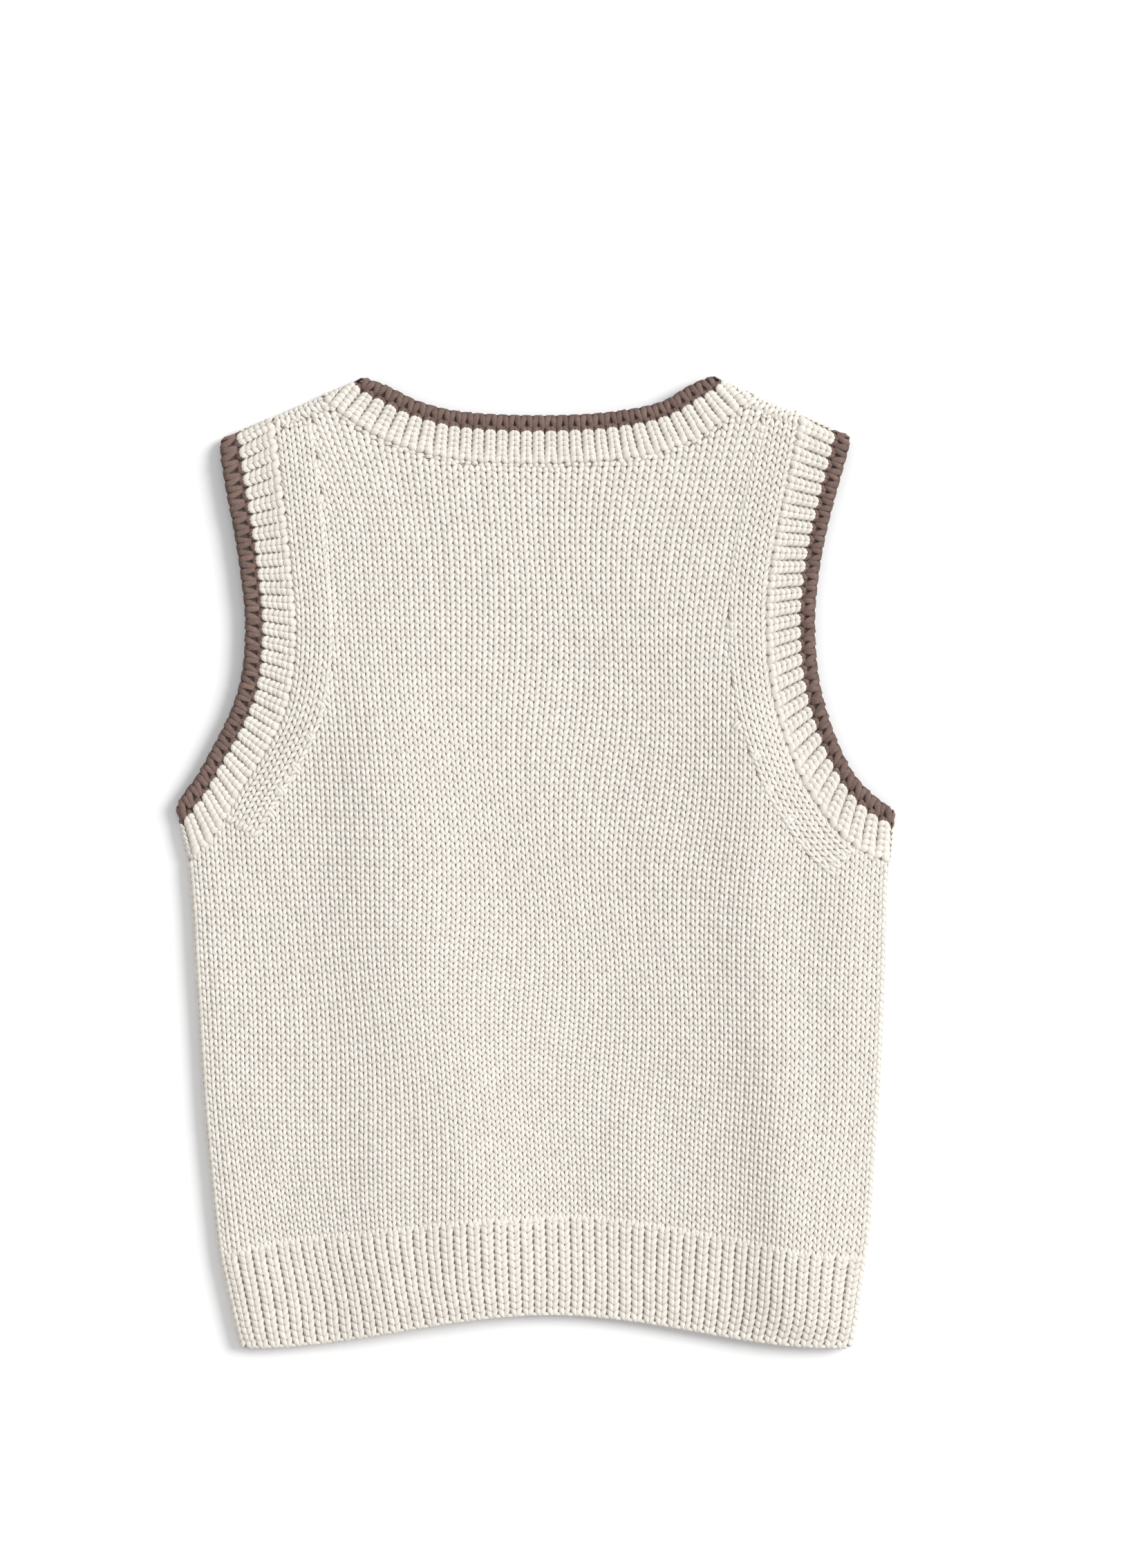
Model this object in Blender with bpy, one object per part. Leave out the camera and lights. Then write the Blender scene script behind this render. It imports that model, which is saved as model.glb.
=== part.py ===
"""A child's sleeveless knitted pullover, laid flat with its back up.

The garment is two knitted panels, a neckband and two armhole bands, each band with a tipped edge of brown
yarn. Laid flat, the front panel lies underneath. It wraps round the side edges and over the shoulders to the
seams, and the bands are closed rings that fold over at the shoulders and underarms. +Y points to the neck, +X
to the right of the back as it is seen, and +Z up from the surface. The tables are in millimetres.
"""

import math

import bpy
import numpy as np

MM = 0.001

# Cloth, in mm
FOLD_RADIUS = 3.0  # of the outer face where the cloth folds round an edge: half the height of the two layers
INNER_RADIUS = 0.2  # of the inner face there: half the air between the layers
SEAM_GAP = 0.3
TIPPING_GAP = 0.45  # more, because both edges twist where they turn round the shoulder
SHOULDER_LIP = 3.4  # how far the front reaches past the shoulder fold, on the back
FOLD_STEPS = 4  # faces round a fold

# Ribbed hem
HEM_RIBS = 50
HEM_HEIGHT = 45.5
HEM_RIB_RISE = 0.8
HEM_END = 4.0  # rounded ends of the ribs, at the cast-on edge and below the body
HEM_EDGE_DROP = 0.9
HEM_ROWS = (  # height above the edge, share of the ribs' rise, drop of the outer face
    (0.0, 0.25, HEM_EDGE_DROP),
    (0.6 * HEM_END, 1.0, 0.0),
    (0.5 * HEM_HEIGHT, 1.0, 0.0),
    (HEM_HEIGHT - HEM_END, 1.0, 0.0),
    (HEM_HEIGHT, 0.0, 0.0),
)
RIB_PHASES = (0.0, 0.32, 0.68)  # groove, then the two shoulders of the rib

# Bands, across their width from the seam to the open edge
BAND_RIB_RISE = 0.5
BAND_RIB_FALL = 0.4
BAND_RIB_START = 0.22  # share of the width at which the ribs are at full height
BAND_RIB_STOP = 0.94  # and at which they begin to fall again
ARM_RIBS = {"left": 31, "right": 33}
NECK_RIBS = 30
ARM_BAND_WIDTH = 23.6
ARM_BAND_SHARE = 0.70  # the rest is the brown tipping
NECK_BAND_WIDTH = 22.8
NECK_BAND_SHARE = 0.73
TIPPING_CROWN = 0.5
TIPPING_START_DROP = 0.1
TIPPING_ROUNDING = 0.85  # share of the tipping's width at which its open edge begins to round off
TIPPING_OUTER_DROP = 0.9  # of the outer face at the open edge
TIPPING_INNER_RISE = 0.5  # of the inner face there

# Soft relief of the back, which lies on the front
RELIEF_BASE = 2.4
SIDE_ROLL = {"left": 15.0, "right": 25.0}  # distance from a side's or an underarm's fold at which it is full
SHOULDER_ROLL = 13.0
BAND_SHARE = 0.8  # how much of it the bands have
BAND_START = 17.0  # distance from a band's edge at which it begins to be full
BAND_REACH = 13.0  # further on, where it is full
HEM_SHARE = 0.7  # how much of it the hem's edge has
HEM_REACH = 12.0
NECK_SAG = 1.0  # how far the back sinks where the front's neck opening leaves it nothing to lie on
SAG_START = 4.0
SAG_REACH = 45.0

# Plan of the garment, in mm from the centre of its box. Each table follows an edge from its first end to its
# last.
LEFT_SIDE = (  # x, y: the fold at the side, from the hem up to the end of the armhole band
    (-136.6, -225.4), (-139.2, -216.0), (-143.0, -199.0), (-147.0, -180.0), (-150.2, -152.0), (-153.8, -114.0),
    (-156.2, -75.0), (-158.2, -43.0), (-159.2, -24.0), (-161.2, -0.5),
)
RIGHT_SIDE = (
    (147.0, -224.9), (149.4, -215.0), (152.2, -195.0), (155.6, -171.0), (158.2, -133.0), (160.8, -95.0),
    (162.4, -56.0), (163.2, -27.0), (163.8, -9.0), (164.4, -1.8),
)
LEFT_ARM_EDGE = (  # x, y: the open edge of the armhole, from the underarm tip to the shoulder
    (-166.3, 22.5), (-162.4, 31.2), (-156.0, 39.8), (-150.6, 49.4), (-141.0, 68.6), (-135.5, 87.8),
    (-134.2, 111.8), (-136.8, 135.8), (-140.0, 155.0), (-143.8, 174.2), (-146.7, 194.4),
)
RIGHT_ARM_EDGE = (
    (166.9, 23.2), (156.0, 30.9), (147.7, 39.8), (142.2, 49.4), (134.9, 68.6), (130.7, 87.8),
    (129.4, 111.8), (131.7, 135.8), (135.5, 155.0), (140.6, 174.2), (147.0, 196.0),
)
LEFT_ARM_SEAM = (  # x, y: where the armhole band joins the panel, from the side edge to the shoulder fold
    (-160.6, -0.5), (-154.7, 4.3), (-148.6, 10.7), (-142.5, 20.0), (-134.9, 33.8), (-125.0, 48.8),
    (-114.1, 71.8), (-110.2, 103.8), (-113.1, 142.2), (-118.2, 187.0), (-120.8, 205.3),
)
RIGHT_ARM_SEAM = (
    (164.4, -1.8), (149.0, 4.6), (137.8, 14.5), (129.1, 26.1), (121.4, 38.9), (112.5, 61.9),
    (107.7, 84.6), (106.1, 111.8), (108.6, 139.4), (117.9, 185.4), (122.1, 207.2),
)
NECK_EDGE = (  # x, y: the open edge at the back of the neck, from the left shoulder to the right
    (-78.6, 223.8), (-65.4, 218.1), (-52.6, 212.0), (-33.4, 207.5), (-1.4, 205.9), (30.6, 207.0),
    (56.2, 211.4), (69.0, 218.4), (80.8, 224.5),
)
NECK_SEAM = (  # x, y: where the neckband joins the back
    (-100.0, 214.5), (-91.0, 206.9), (-69.0, 193.4), (-37.0, 184.8), (5.0, 182.9), (47.2, 185.8),
    (74.1, 194.7), (94.6, 208.8), (102.2, 215.5),
)
FRONT_NECK_EDGE = (  # x, y: the front neck, hidden under the back: a plain V
    (-78.6, 223.8), (-62.0, 192.0), (-30.0, 145.0), (-5.0, 111.0), (1.0, 107.0), (7.0, 111.0), (32.0, 145.0),
    (64.0, 192.0), (80.8, 224.5),
)
FRONT_NECK_SEAM = (
    (-100.0, 214.5), (-82.5, 181.0), (-49.0, 131.0), (-9.0, 80.0), (1.0, 73.0), (11.0, 80.0), (51.0, 131.0),
    (84.5, 181.0), (102.2, 215.5),
)
# The hem's edge arches up in the middle of the back.
HEM_ARCH_CENTRE = 5.0
HEM_ARCH_HALF_SPAN = 137.6
HEM_ARCH_RISE = 15.4
FRONT_HEM_SHORTER = 0.6

FOLDS = (
    # name, line in plan, half width, height
    ("long crest, steep side", ((-75.0, 44.0), (-73.0, -30.0), (-72.0, -212.0)), 21.0, 1.6),
    ("long crest, steep side, low", ((-74.0, -138.0), (-72.0, -212.0)), 18.0, 1.0),
    ("long crest, gentle side", ((-64.0, 60.0), (-53.0, -30.0), (-38.0, -160.0), (-36.0, -204.0)), 30.0, 4.0),
    ("long crest, gentle side, low", ((-32.0, -106.0), (-24.0, -168.0)), 22.0, 2.0),
    ("middle hollow", ((26.0, 74.0), (36.0, -60.0), (42.0, -176.0)), 36.0, -1.5),
    ("right crest", ((98.0, 56.0), (103.0, -26.0), (112.0, -105.0), (116.0, -204.0)), 18.0, 2.7),
    ("right crest, low", ((110.0, -84.0), (116.0, -196.0)), 16.0, 1.3),
    ("right side swell", ((142.0, -10.0), (138.0, -190.0)), 17.0, 1.2),
    ("small rise", ((45.0, -124.0), (47.0, -156.0)), 12.0, 1.0),
    ("left armhole swell", ((-105.0, 178.0), (-99.0, 110.0), (-107.0, 60.0), (-132.0, 12.0)), 9.0, 0.6),
    ("right armhole swell", ((104.0, 178.0), (96.0, 110.0), (102.0, 60.0), (128.0, 10.0)), 9.0, 0.35),
    ("yoke hollow", ((-40.0, 150.0), (44.0, 146.0)), 24.0, -0.6),
)

# Mesh density
CURVE_SAMPLES = 400
TABLE_STEPS = 24  # between two points of a table
HEM_SAMPLES = 100
LIFT_SKIP = 8  # the relief is measured from every eighth point of a curve
SIDE_ROWS = 10
ARMHOLE_ROWS = 18
ARMHOLE_EVENNESS = 0.65  # 1 spaces the armhole's rows evenly, and less brings them closer at the underarm
SHOULDER_COLUMNS = 3
NECK_COLUMNS = 28
FRONT_SIDE_ROWS = 6
FRONT_NECK_COLUMNS = 20
SHOULDER_SHARE = 0.10  # of the panel's width at the top, on each side
UNDERARM_SHARE = 0.5  # of a panel's height in rows, where the side edge ends and the armhole begins
MIDDLE = (0.0, 60.0)  # a point well inside the garment
FLAT = np.zeros(2)  # stands for the fold's normal where the cloth isn't in a fold
SHARP_ANGLE = math.radians(50)  # between faces that meet in an edge
TINY = 1e-9

COLOURS = {  # linear RGB
    "cream": (0.76, 0.73, 0.67),
    "brown": (0.20, 0.14, 0.12),
}
ROUGHNESS = 0.9


# ---------------------------------------------------------------- curves in plan


def dense(points):
    """A smooth curve through the points, sampled densely at even steps along its length."""
    points = np.asarray(points, float)
    ends = np.vstack([2 * points[0] - points[1], points, 2 * points[-1] - points[-2]])
    steps = np.linspace(0.0, 1.0, TABLE_STEPS, endpoint=False)[:, None]
    runs = []
    for before, start, stop, after in zip(ends, ends[1:], ends[2:], ends[3:]):
        runs.append(
            0.5
            * (
                2 * start
                + (stop - before) * steps
                + (2 * before - 5 * start + 4 * stop - after) * steps**2
                + (3 * start - before - 3 * stop + after) * steps**3
            )
        )
    return evenly(np.vstack(runs + [points[-1:]]), np.linspace(0.0, 1.0, CURVE_SAMPLES))


def evenly(curve, shares):
    """Points at these shares of the length of a polyline."""
    lengths = np.r_[0.0, np.cumsum(np.linalg.norm(np.diff(curve, axis=0), axis=1))]
    where = np.asarray(shares, float) * lengths[-1]
    return np.stack([np.interp(where, lengths, curve[:, axis]) for axis in range(2)], axis=1)


def shifted(curve, distance):
    """The curve moved sideways, to its left for a positive distance."""
    along = np.gradient(curve, axis=0)
    along /= np.linalg.norm(along, axis=1)[:, None]
    return curve + distance * np.stack([-along[:, 1], along[:, 0]], axis=1)


def depth_below(line, points):
    """Distance of points from a line through two points, positive to its left."""
    start, stop = line
    along = (stop - start) / np.linalg.norm(stop - start)
    return along[0] * (points[:, 1] - start[1]) - along[1] * (points[:, 0] - start[0])


def cut_at_depth(curve, line, depth):
    """The part of the curve further than depth from the line, which it leaves at its first end."""
    far = np.abs(depth_below(line, curve))
    first = int(np.argmax(far > depth))
    share = (depth - far[first - 1]) / (far[first] - far[first - 1]) if first else 0.0
    start = curve[max(first - 1, 0)] * (1 - share) + curve[first] * share
    return np.vstack([start, curve[first:]])


def cut_both(curve, first_line, last_line, depth):
    """The curve without the stretches that lie nearer than depth to the folds at its ends."""
    return cut_at_depth(cut_at_depth(curve, first_line, depth)[::-1], last_line, depth)[::-1]


def between(start, stop, share):
    return start * (1 - share) + stop * share


def inward(line, inside):
    """Unit normal of a fold line, towards a point inside the garment."""
    along = line[1] - line[0]
    normal = np.array([-along[1], along[0]]) / np.linalg.norm(along)
    return normal if np.dot(np.asarray(inside) - line[0], normal) > 0 else -normal


def hem_height(x):
    """The y of the hem's edge above the y of its corners."""
    angle = np.clip((x - HEM_ARCH_CENTRE) / HEM_ARCH_HALF_SPAN, -1.0, 1.0) * math.pi / 2
    return HEM_ARCH_RISE * np.cos(angle) ** 2


class Plan:
    """The edges, seams and folds of the garment, seen from above."""

    def __init__(self):
        self.side = {"left": dense(LEFT_SIDE), "right": dense(RIGHT_SIDE)}
        self.arm_edge = {"left": dense(LEFT_ARM_EDGE), "right": dense(RIGHT_ARM_EDGE)}
        self.arm_seam = {"left": dense(LEFT_ARM_SEAM), "right": dense(RIGHT_ARM_SEAM)}
        self.neck_edge = dense(NECK_EDGE)
        self.neck_seam = dense(NECK_SEAM)
        self.front_neck_edge = dense(FRONT_NECK_EDGE)
        self.front_neck_seam = dense(FRONT_NECK_SEAM)
        self.underarm_fold = {
            side: (self.arm_seam[side][0], self.arm_edge[side][0]) for side in ("left", "right")
        }
        self.shoulder_fold = {
            "left": (self.arm_edge["left"][-1], self.neck_edge[0]),
            "right": (self.arm_edge["right"][-1], self.neck_edge[-1]),
        }


PLAN = Plan()


# ---------------------------------------------------------------- relief of the back


def smooth(share):
    share = np.clip(share, 0.0, 1.0)
    return share * share * (3 - 2 * share)


def distance_to(line, points):
    """Distance of points from a polyline."""
    line = np.asarray(line, float)
    start, run = line[:-1], np.diff(line, axis=0)
    length = np.maximum((run**2).sum(axis=1), TINY)
    away = points[:, None, :] - start[None]
    share = np.clip((away * run[None]).sum(axis=2) / length, 0.0, 1.0)
    return np.linalg.norm(away - share[..., None] * run[None], axis=2).min(axis=1)


def inside(line, points):
    """Whether points lie inside a closed polyline."""
    start, stop = line, np.roll(line, -1, axis=0)
    x, y = points[:, 0:1], points[:, 1:2]
    spans = (start[:, 1] > y) != (stop[:, 1] > y)
    rise = stop[:, 1] - start[:, 1]
    rise = np.where(np.abs(rise) < TINY, TINY, rise)
    crossing = start[:, 0] + (y - start[:, 1]) * (stop[:, 0] - start[:, 0]) / rise
    return (spans & (x < crossing)).sum(axis=1) % 2 == 1


def fullness(points):
    """How much of the relief the cloth has at points in plan: it rolls down to the folded edges and the hem."""
    full = np.ones(len(points))
    for side, roll in SIDE_ROLL.items():
        for line, reach in (
            (PLAN.side[side][::LIFT_SKIP], roll),
            (PLAN.underarm_fold[side], roll),
            (PLAN.shoulder_fold[side], SHOULDER_ROLL),
        ):
            low = 1 - np.clip(distance_to(line, points) / reach, 0.0, 1.0)
            full = np.minimum(full, 1 - low**2)
    edges = (PLAN.arm_edge["left"], PLAN.arm_edge["right"], PLAN.neck_edge)
    from_band = np.min([distance_to(edge[::LIFT_SKIP], points) for edge in edges], axis=0)
    full *= BAND_SHARE + (1 - BAND_SHARE) * smooth((from_band - BAND_START) / BAND_REACH)
    hem = hem_between(PLAN.side["left"][0], PLAN.side["right"][0])
    return full * (HEM_SHARE + (1 - HEM_SHARE) * smooth(distance_to(hem, points) / HEM_REACH))


def lift(points):
    """Height of the back above its lowest lie, at points in plan."""
    points = np.asarray(points, float)
    height = np.full(len(points), RELIEF_BASE)
    for _name, line, half_width, rise in FOLDS:
        height += rise * np.exp(-((distance_to(line, points) / half_width) ** 2))
    opening = PLAN.front_neck_edge[::LIFT_SKIP]
    depth = distance_to(opening, points) * inside(opening, points)
    return height * fullness(points) - NECK_SAG * smooth((depth - SAG_START) / SAG_REACH)


# ---------------------------------------------------------------- folded cloth


def folded(points, angle, normal, radius):
    """Points of the cloth where it is turned by angle round a fold: 0 is on top and pi underneath.

    points are in plan, normal points into the garment and radius is the distance from the middle of the fold.
    """
    points = np.asarray(points, float)
    plan = points - np.reshape(radius * np.sin(angle), (-1, 1)) * normal
    over = (1 + np.cos(angle)) / 2
    height = FOLD_RADIUS + radius * np.cos(angle) + over * lift(plan)
    return np.column_stack([plan, height])


def ribbing(count, phases=RIB_PHASES):
    """Shares along an edge at which ribs have their grooves and shoulders, and how high each stands."""
    shares = [(rib + phase) / count for rib in range(count) for phase in phases] + [1.0]
    heights = [0.0 if phase == 0.0 else 1.0 for _ in range(count) for phase in phases] + [0.0]
    return np.array(shares), np.array(heights)


class Ring:
    """A band that goes all round an opening: over the back, round a fold, under, and round the other fold."""

    def __init__(self, back, under, first_fold, last_fold):
        """back and under are each a pair of curves from the first fold to the last: seam and open edge."""
        self.normals = (inward(first_fold, MIDDLE), inward(last_fold, MIDDLE))
        folds = (first_fold, last_fold)
        self.back = [cut_both(curve, *folds, FOLD_RADIUS) for curve in back]
        self.under = [cut_both(curve, *folds, FOLD_RADIUS) for curve in under]

    def stations(self, top_shares, top_heights, hidden_shares):
        """Each station of the ring: seam point, edge point, turn, normal and height of the rib there."""
        found = []
        top = [evenly(curve, top_shares) for curve in self.back]
        for seam, edge, height in zip(*top, top_heights):
            found.append((seam, edge, 0.0, self.normals[1], height))
        turns = np.linspace(0.0, math.pi, FOLD_STEPS + 1)[1:-1]
        for turn in turns:
            found.append((*self.turned(-1, turn), turn, self.normals[1], 0.0))
        below = [evenly(curve, hidden_shares[::-1]) for curve in self.under]
        for seam, edge in zip(*below):
            found.append((seam, edge, math.pi, self.normals[0], 0.0))
        for turn in turns[::-1]:
            found.append((*self.turned(0, turn), turn, self.normals[0], 0.0))
        return found

    def turned(self, end, turn):
        """Seam and edge points at an end of the ring, on the way from the back to the underside."""
        return [
            between(back[end], under[end], turn / math.pi) for back, under in zip(self.back, self.under)
        ]

    def sections(self, stations, profile):
        """Cross-sections of the ring. profile gives (share across, radius) points for a height and a turn."""
        rows = []
        for seam, edge, turn, normal, height in stations:
            shares, radii = np.array(profile(height, turn)).T
            points = seam[None] * (1 - shares[:, None]) + edge[None] * shares[:, None]
            rows.append(folded(points, turn, normal, radii))
        return np.array(rows)


def on_top(turn):
    """How much of the back's relief the cloth keeps at this turn."""
    return max(0.0, math.cos(turn)) ** 0.5 if turn < math.pi / 2 else 0.0


def band_profile(share, width):
    """Cross-section of a ribbed band: plain inside, its ribs raised outside. It ends short of the tipping."""
    end = share - TIPPING_GAP / width

    def profile(height, turn):
        rise = on_top(turn) * (height * (BAND_RIB_RISE + BAND_RIB_FALL) - BAND_RIB_FALL)
        return (
            (0.0, INNER_RADIUS),
            (0.0, FOLD_RADIUS - 0.5 * BAND_RIB_FALL * on_top(turn)),
            (BAND_RIB_START * end, FOLD_RADIUS + rise),
            (BAND_RIB_STOP * end, FOLD_RADIUS + rise),
            (end, FOLD_RADIUS - BAND_RIB_FALL * on_top(turn)),
            (end, INNER_RADIUS),
        )

    return profile


def tipping_profile(share):
    """Cross-section of the tipping: a thick edge, rounded on its open side."""
    mid = (1 + share) / 2
    late = between(share, 1.0, TIPPING_ROUNDING)

    def profile(_height, turn):
        crown = TIPPING_CROWN * on_top(turn)
        return (
            (share, INNER_RADIUS),
            (share, FOLD_RADIUS - TIPPING_START_DROP * on_top(turn)),
            (mid, FOLD_RADIUS + crown),
            (late, FOLD_RADIUS),
            (1.0, FOLD_RADIUS - TIPPING_OUTER_DROP),
            (1.0, INNER_RADIUS + TIPPING_INNER_RISE),
            (late, INNER_RADIUS),
        )

    return profile


# ---------------------------------------------------------------- meshes


def add_node(name, vertices, faces, colour):
    """An object from vertices in mm and faces, with its own material."""
    mesh = bpy.data.meshes.new(name)
    mesh.from_pydata((np.asarray(vertices) * MM).tolist(), [], faces)
    mesh.validate()
    material = bpy.data.materials.new(name)
    material.use_nodes = True
    shader = material.node_tree.nodes["Principled BSDF"]
    shader.inputs["Base Color"].default_value = (*COLOURS[colour], 1.0)
    shader.inputs["Roughness"].default_value = ROUGHNESS
    shader.inputs["Metallic"].default_value = 0.0
    mesh.materials.append(material)
    mesh.shade_smooth()
    mesh.set_sharp_from_angle(angle=SHARP_ANGLE)
    obj = bpy.data.objects.new(name, mesh)
    bpy.context.collection.objects.link(obj)
    return obj


def add_ring(name, sections, colour):
    """A closed ring from its cross-sections."""
    count, points = sections.shape[:2]
    faces = []
    for row in range(count):
        after = (row + 1) % count
        for point in range(points):
            beside = (point + 1) % points
            faces.append(
                (
                    row * points + point,
                    row * points + beside,
                    after * points + beside,
                    after * points + point,
                )
            )
    return oriented(add_node(name, sections.reshape(-1, 3), faces, colour))


def oriented(obj):
    """The object with its faces pointing out."""
    mesh = obj.data
    mesh.calc_loop_triangles()
    points = np.array([vertex.co for vertex in mesh.vertices])
    corners = points[np.array([triangle.vertices for triangle in mesh.loop_triangles])]
    if np.linalg.det(corners).sum() < 0:
        mesh.flip_normals()
    return obj


def thick_sheet(name, outer, inner, faces, colour):
    """A closed wall between matching outer and inner points: both faces, and an edge all round."""
    count = len(outer)
    sides = {}
    for face in faces:
        for first, second in zip(face, face[1:] + face[:1]):
            sides[(first, second)] = True
    walls = [
        (second, first, first + count, second + count)
        for first, second in sides
        if (second, first) not in sides
    ]
    backs = [tuple(index + count for index in reversed(face)) for face in faces]
    return oriented(add_node(name, np.vstack([outer, inner]), faces + backs + walls, colour))


def strip(first, second, first_shares, second_shares):
    """Triangles or quads between two rows of points with these shares along them."""
    if len(first) == len(second):
        return [(first[i], first[i + 1], second[i + 1], second[i]) for i in range(len(first) - 1)]
    faces = []
    i = j = 0
    while i < len(first) - 1 or j < len(second) - 1:
        ahead_first = first_shares[i + 1] if i < len(first) - 1 else math.inf
        ahead_second = second_shares[j + 1] if j < len(second) - 1 else math.inf
        if ahead_first <= ahead_second:
            faces.append((first[i], first[i + 1], second[j]))
            i += 1
        else:
            faces.append((first[i], second[j + 1], second[j]))
            j += 1
    return faces


def flipped(faces):
    return [face[::-1] for face in faces]


class Patch:
    """A panel's plan, spanned between its four edges: u runs across it and v up it."""

    def __init__(self, left, right, bottom, top):
        """Each edge is a list of (share, curve) stretches, with the share at which the stretch ends."""
        self.edges = {"left": left, "right": right, "bottom": bottom, "top": top}

    def on_edge(self, name, share):
        start = 0.0
        for stop, curve in self.edges[name]:
            if share <= stop + TINY:
                return evenly(curve, [(share - start) / (stop - start)])[0]
            start = stop
        raise ValueError(share)

    def row(self, v, shares):
        """Points across the panel at v."""
        left, right = self.on_edge("left", v), self.on_edge("right", v)
        corners = [self.on_edge(edge, end) for edge in ("bottom", "top") for end in (0.0, 1.0)]
        points = []
        for u in shares:
            across = (1 - u) * left + u * right
            up = (1 - v) * self.on_edge("bottom", u) + v * self.on_edge("top", u)
            spanned = (1 - v) * ((1 - u) * corners[0] + u * corners[1])
            spanned = spanned + v * ((1 - u) * corners[2] + u * corners[3])
            points.append(across + up - spanned)
        return np.array(points)


def armhole_shares():
    """Rows up the armhole, closer together at the underarm, where it curves most."""
    steps = np.linspace(0.0, 1.0, ARMHOLE_ROWS + 1)
    return between(steps**2, steps, ARMHOLE_EVENNESS)


def hem_rows():
    """Rows of the ribbed hem: its edge, the ribs' rounded ends and its top, where the body begins."""
    side_length = LEFT_SIDE[-1][1] - LEFT_SIDE[0][1]
    return np.array([height for height, _rise, _drop in HEM_ROWS]) / side_length * UNDERARM_SHARE


def panel_shares(side_rows, neck_columns):
    """Rows above the hem, up to the shoulders, and columns across a panel."""
    rows = np.r_[
        np.linspace(hem_rows()[-1], UNDERARM_SHARE, side_rows + 1)[1:],
        UNDERARM_SHARE + (1 - UNDERARM_SHARE) * armhole_shares()[1:],
    ]
    columns = np.r_[
        np.linspace(0.0, SHOULDER_SHARE, SHOULDER_COLUMNS + 1),
        np.linspace(SHOULDER_SHARE, 1.0 - SHOULDER_SHARE, neck_columns + 1)[1:],
        np.linspace(1.0 - SHOULDER_SHARE, 1.0, SHOULDER_COLUMNS + 1)[1:],
    ]
    return rows, columns


def moved_in(curve, distance):
    """A side or seam curve, moved towards the middle of the garment."""
    return shifted(curve, -distance if curve[0][0] < 0 else distance)


def panel_patch(side_inset, fold_inset, shoulder_inset, neck_seam, hem_cut):
    """A panel in plan, clear of the seams and of the folds.

    The insets are how far it stays inside the side edges, the underarm folds and the shoulder folds.
    """
    sides, armholes = [], []
    for side in ("left", "right"):
        seam = moved_in(PLAN.arm_seam[side], SEAM_GAP)
        seam = cut_at_depth(seam, PLAN.underarm_fold[side], fold_inset)
        armhole = cut_at_depth(seam[::-1], PLAN.shoulder_fold[side], shoulder_inset)[::-1]
        low = moved_in(PLAN.side[side], side_inset)
        low = np.vstack([low[low[:, 1] < armhole[0][1] - 2 * SEAM_GAP], armhole[0]])
        low[0, 1] += hem_cut
        sides.append(low)
        armholes.append(armhole)
    neck = cut_both(
        shifted(neck_seam, -SEAM_GAP), PLAN.shoulder_fold["left"], PLAN.shoulder_fold["right"], shoulder_inset
    )
    return Patch(
        [(UNDERARM_SHARE, sides[0]), (1.0, armholes[0])],
        [(UNDERARM_SHARE, sides[1]), (1.0, armholes[1])],
        [(1.0, hem_between(sides[0][0], sides[1][0]))],
        [
            (SHOULDER_SHARE, np.array([armholes[0][-1], neck[0]])),
            (1.0 - SHOULDER_SHARE, neck),
            (1.0, np.array([neck[-1], armholes[1][-1]])),
        ],
    )


def hem_between(start, stop):
    """The hem's arched edge between two corners."""
    edge = between(start, stop, np.linspace(0.0, 1.0, HEM_SAMPLES)[:, None])
    edge[:, 1] += hem_height(edge[:, 0])
    return edge


def make_back():
    """The back: stocking stitch left plain, and its hem ribs raised outside over a plain inside."""
    clear = FOLD_RADIUS + SEAM_GAP
    patch = panel_patch(clear, clear, clear + SHOULDER_LIP, PLAN.neck_seam, 0.0)
    rows, columns = panel_shares(SIDE_ROWS, NECK_COLUMNS)
    ribs, rib_heights = ribbing(HEM_RIBS)
    layout = [(v, ribs, rise * rib_heights, drop) for v, (_height, rise, drop) in zip(hem_rows(), HEM_ROWS)]
    layout += [(v, columns, 0.0, 0.0) for v in rows]
    points, faces, outer_rows, inner_rows = [], [], [], []

    def add(plan, height):
        numbers = list(range(len(points), len(points) + len(plan)))
        points.extend(np.column_stack([plan, height + lift(plan)]).tolist())
        return numbers

    for v, shares, heights, drop in layout:
        outer_rows.append((add(patch.row(v, shares), 2 * FOLD_RADIUS + HEM_RIB_RISE * heights - drop), shares))
        inner_rows.append((add(patch.row(v, columns), FOLD_RADIUS + INNER_RADIUS), columns))
    for (below, below_shares), (above, above_shares) in zip(outer_rows, outer_rows[1:]):
        faces += strip(below, above, below_shares, above_shares)
    for (below, below_shares), (above, above_shares) in zip(inner_rows, inner_rows[1:]):
        faces += flipped(strip(below, above, below_shares, above_shares))
    faces += strip(inner_rows[0][0], outer_rows[0][0], columns, ribs)
    faces += flipped(strip(inner_rows[-1][0], outer_rows[-1][0], columns, columns))
    for end in (0, -1):
        inside_edge = [row[end] for row, _shares in inner_rows]
        outside_edge = [row[end] for row, _shares in outer_rows]
        wall = strip(inside_edge, outside_edge, inside_edge, outside_edge)
        faces += flipped(wall) if end == 0 else wall
    return oriented(add_node("back_panel", points, faces, "cream"))


def side_normals(side, count):
    """Normals of the side fold, from the hem to the underarm, each pointing into the garment."""
    along = np.gradient(evenly(PLAN.side[side], np.linspace(0.0, 1.0, count)), axis=0)
    normals = np.stack([along[:, 1], -along[:, 0]], axis=1) / np.linalg.norm(along, axis=1)[:, None]
    normals *= 1 if side == "left" else -1
    normals[-1] = inward(PLAN.underarm_fold[side], MIDDLE)
    return normals


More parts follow.
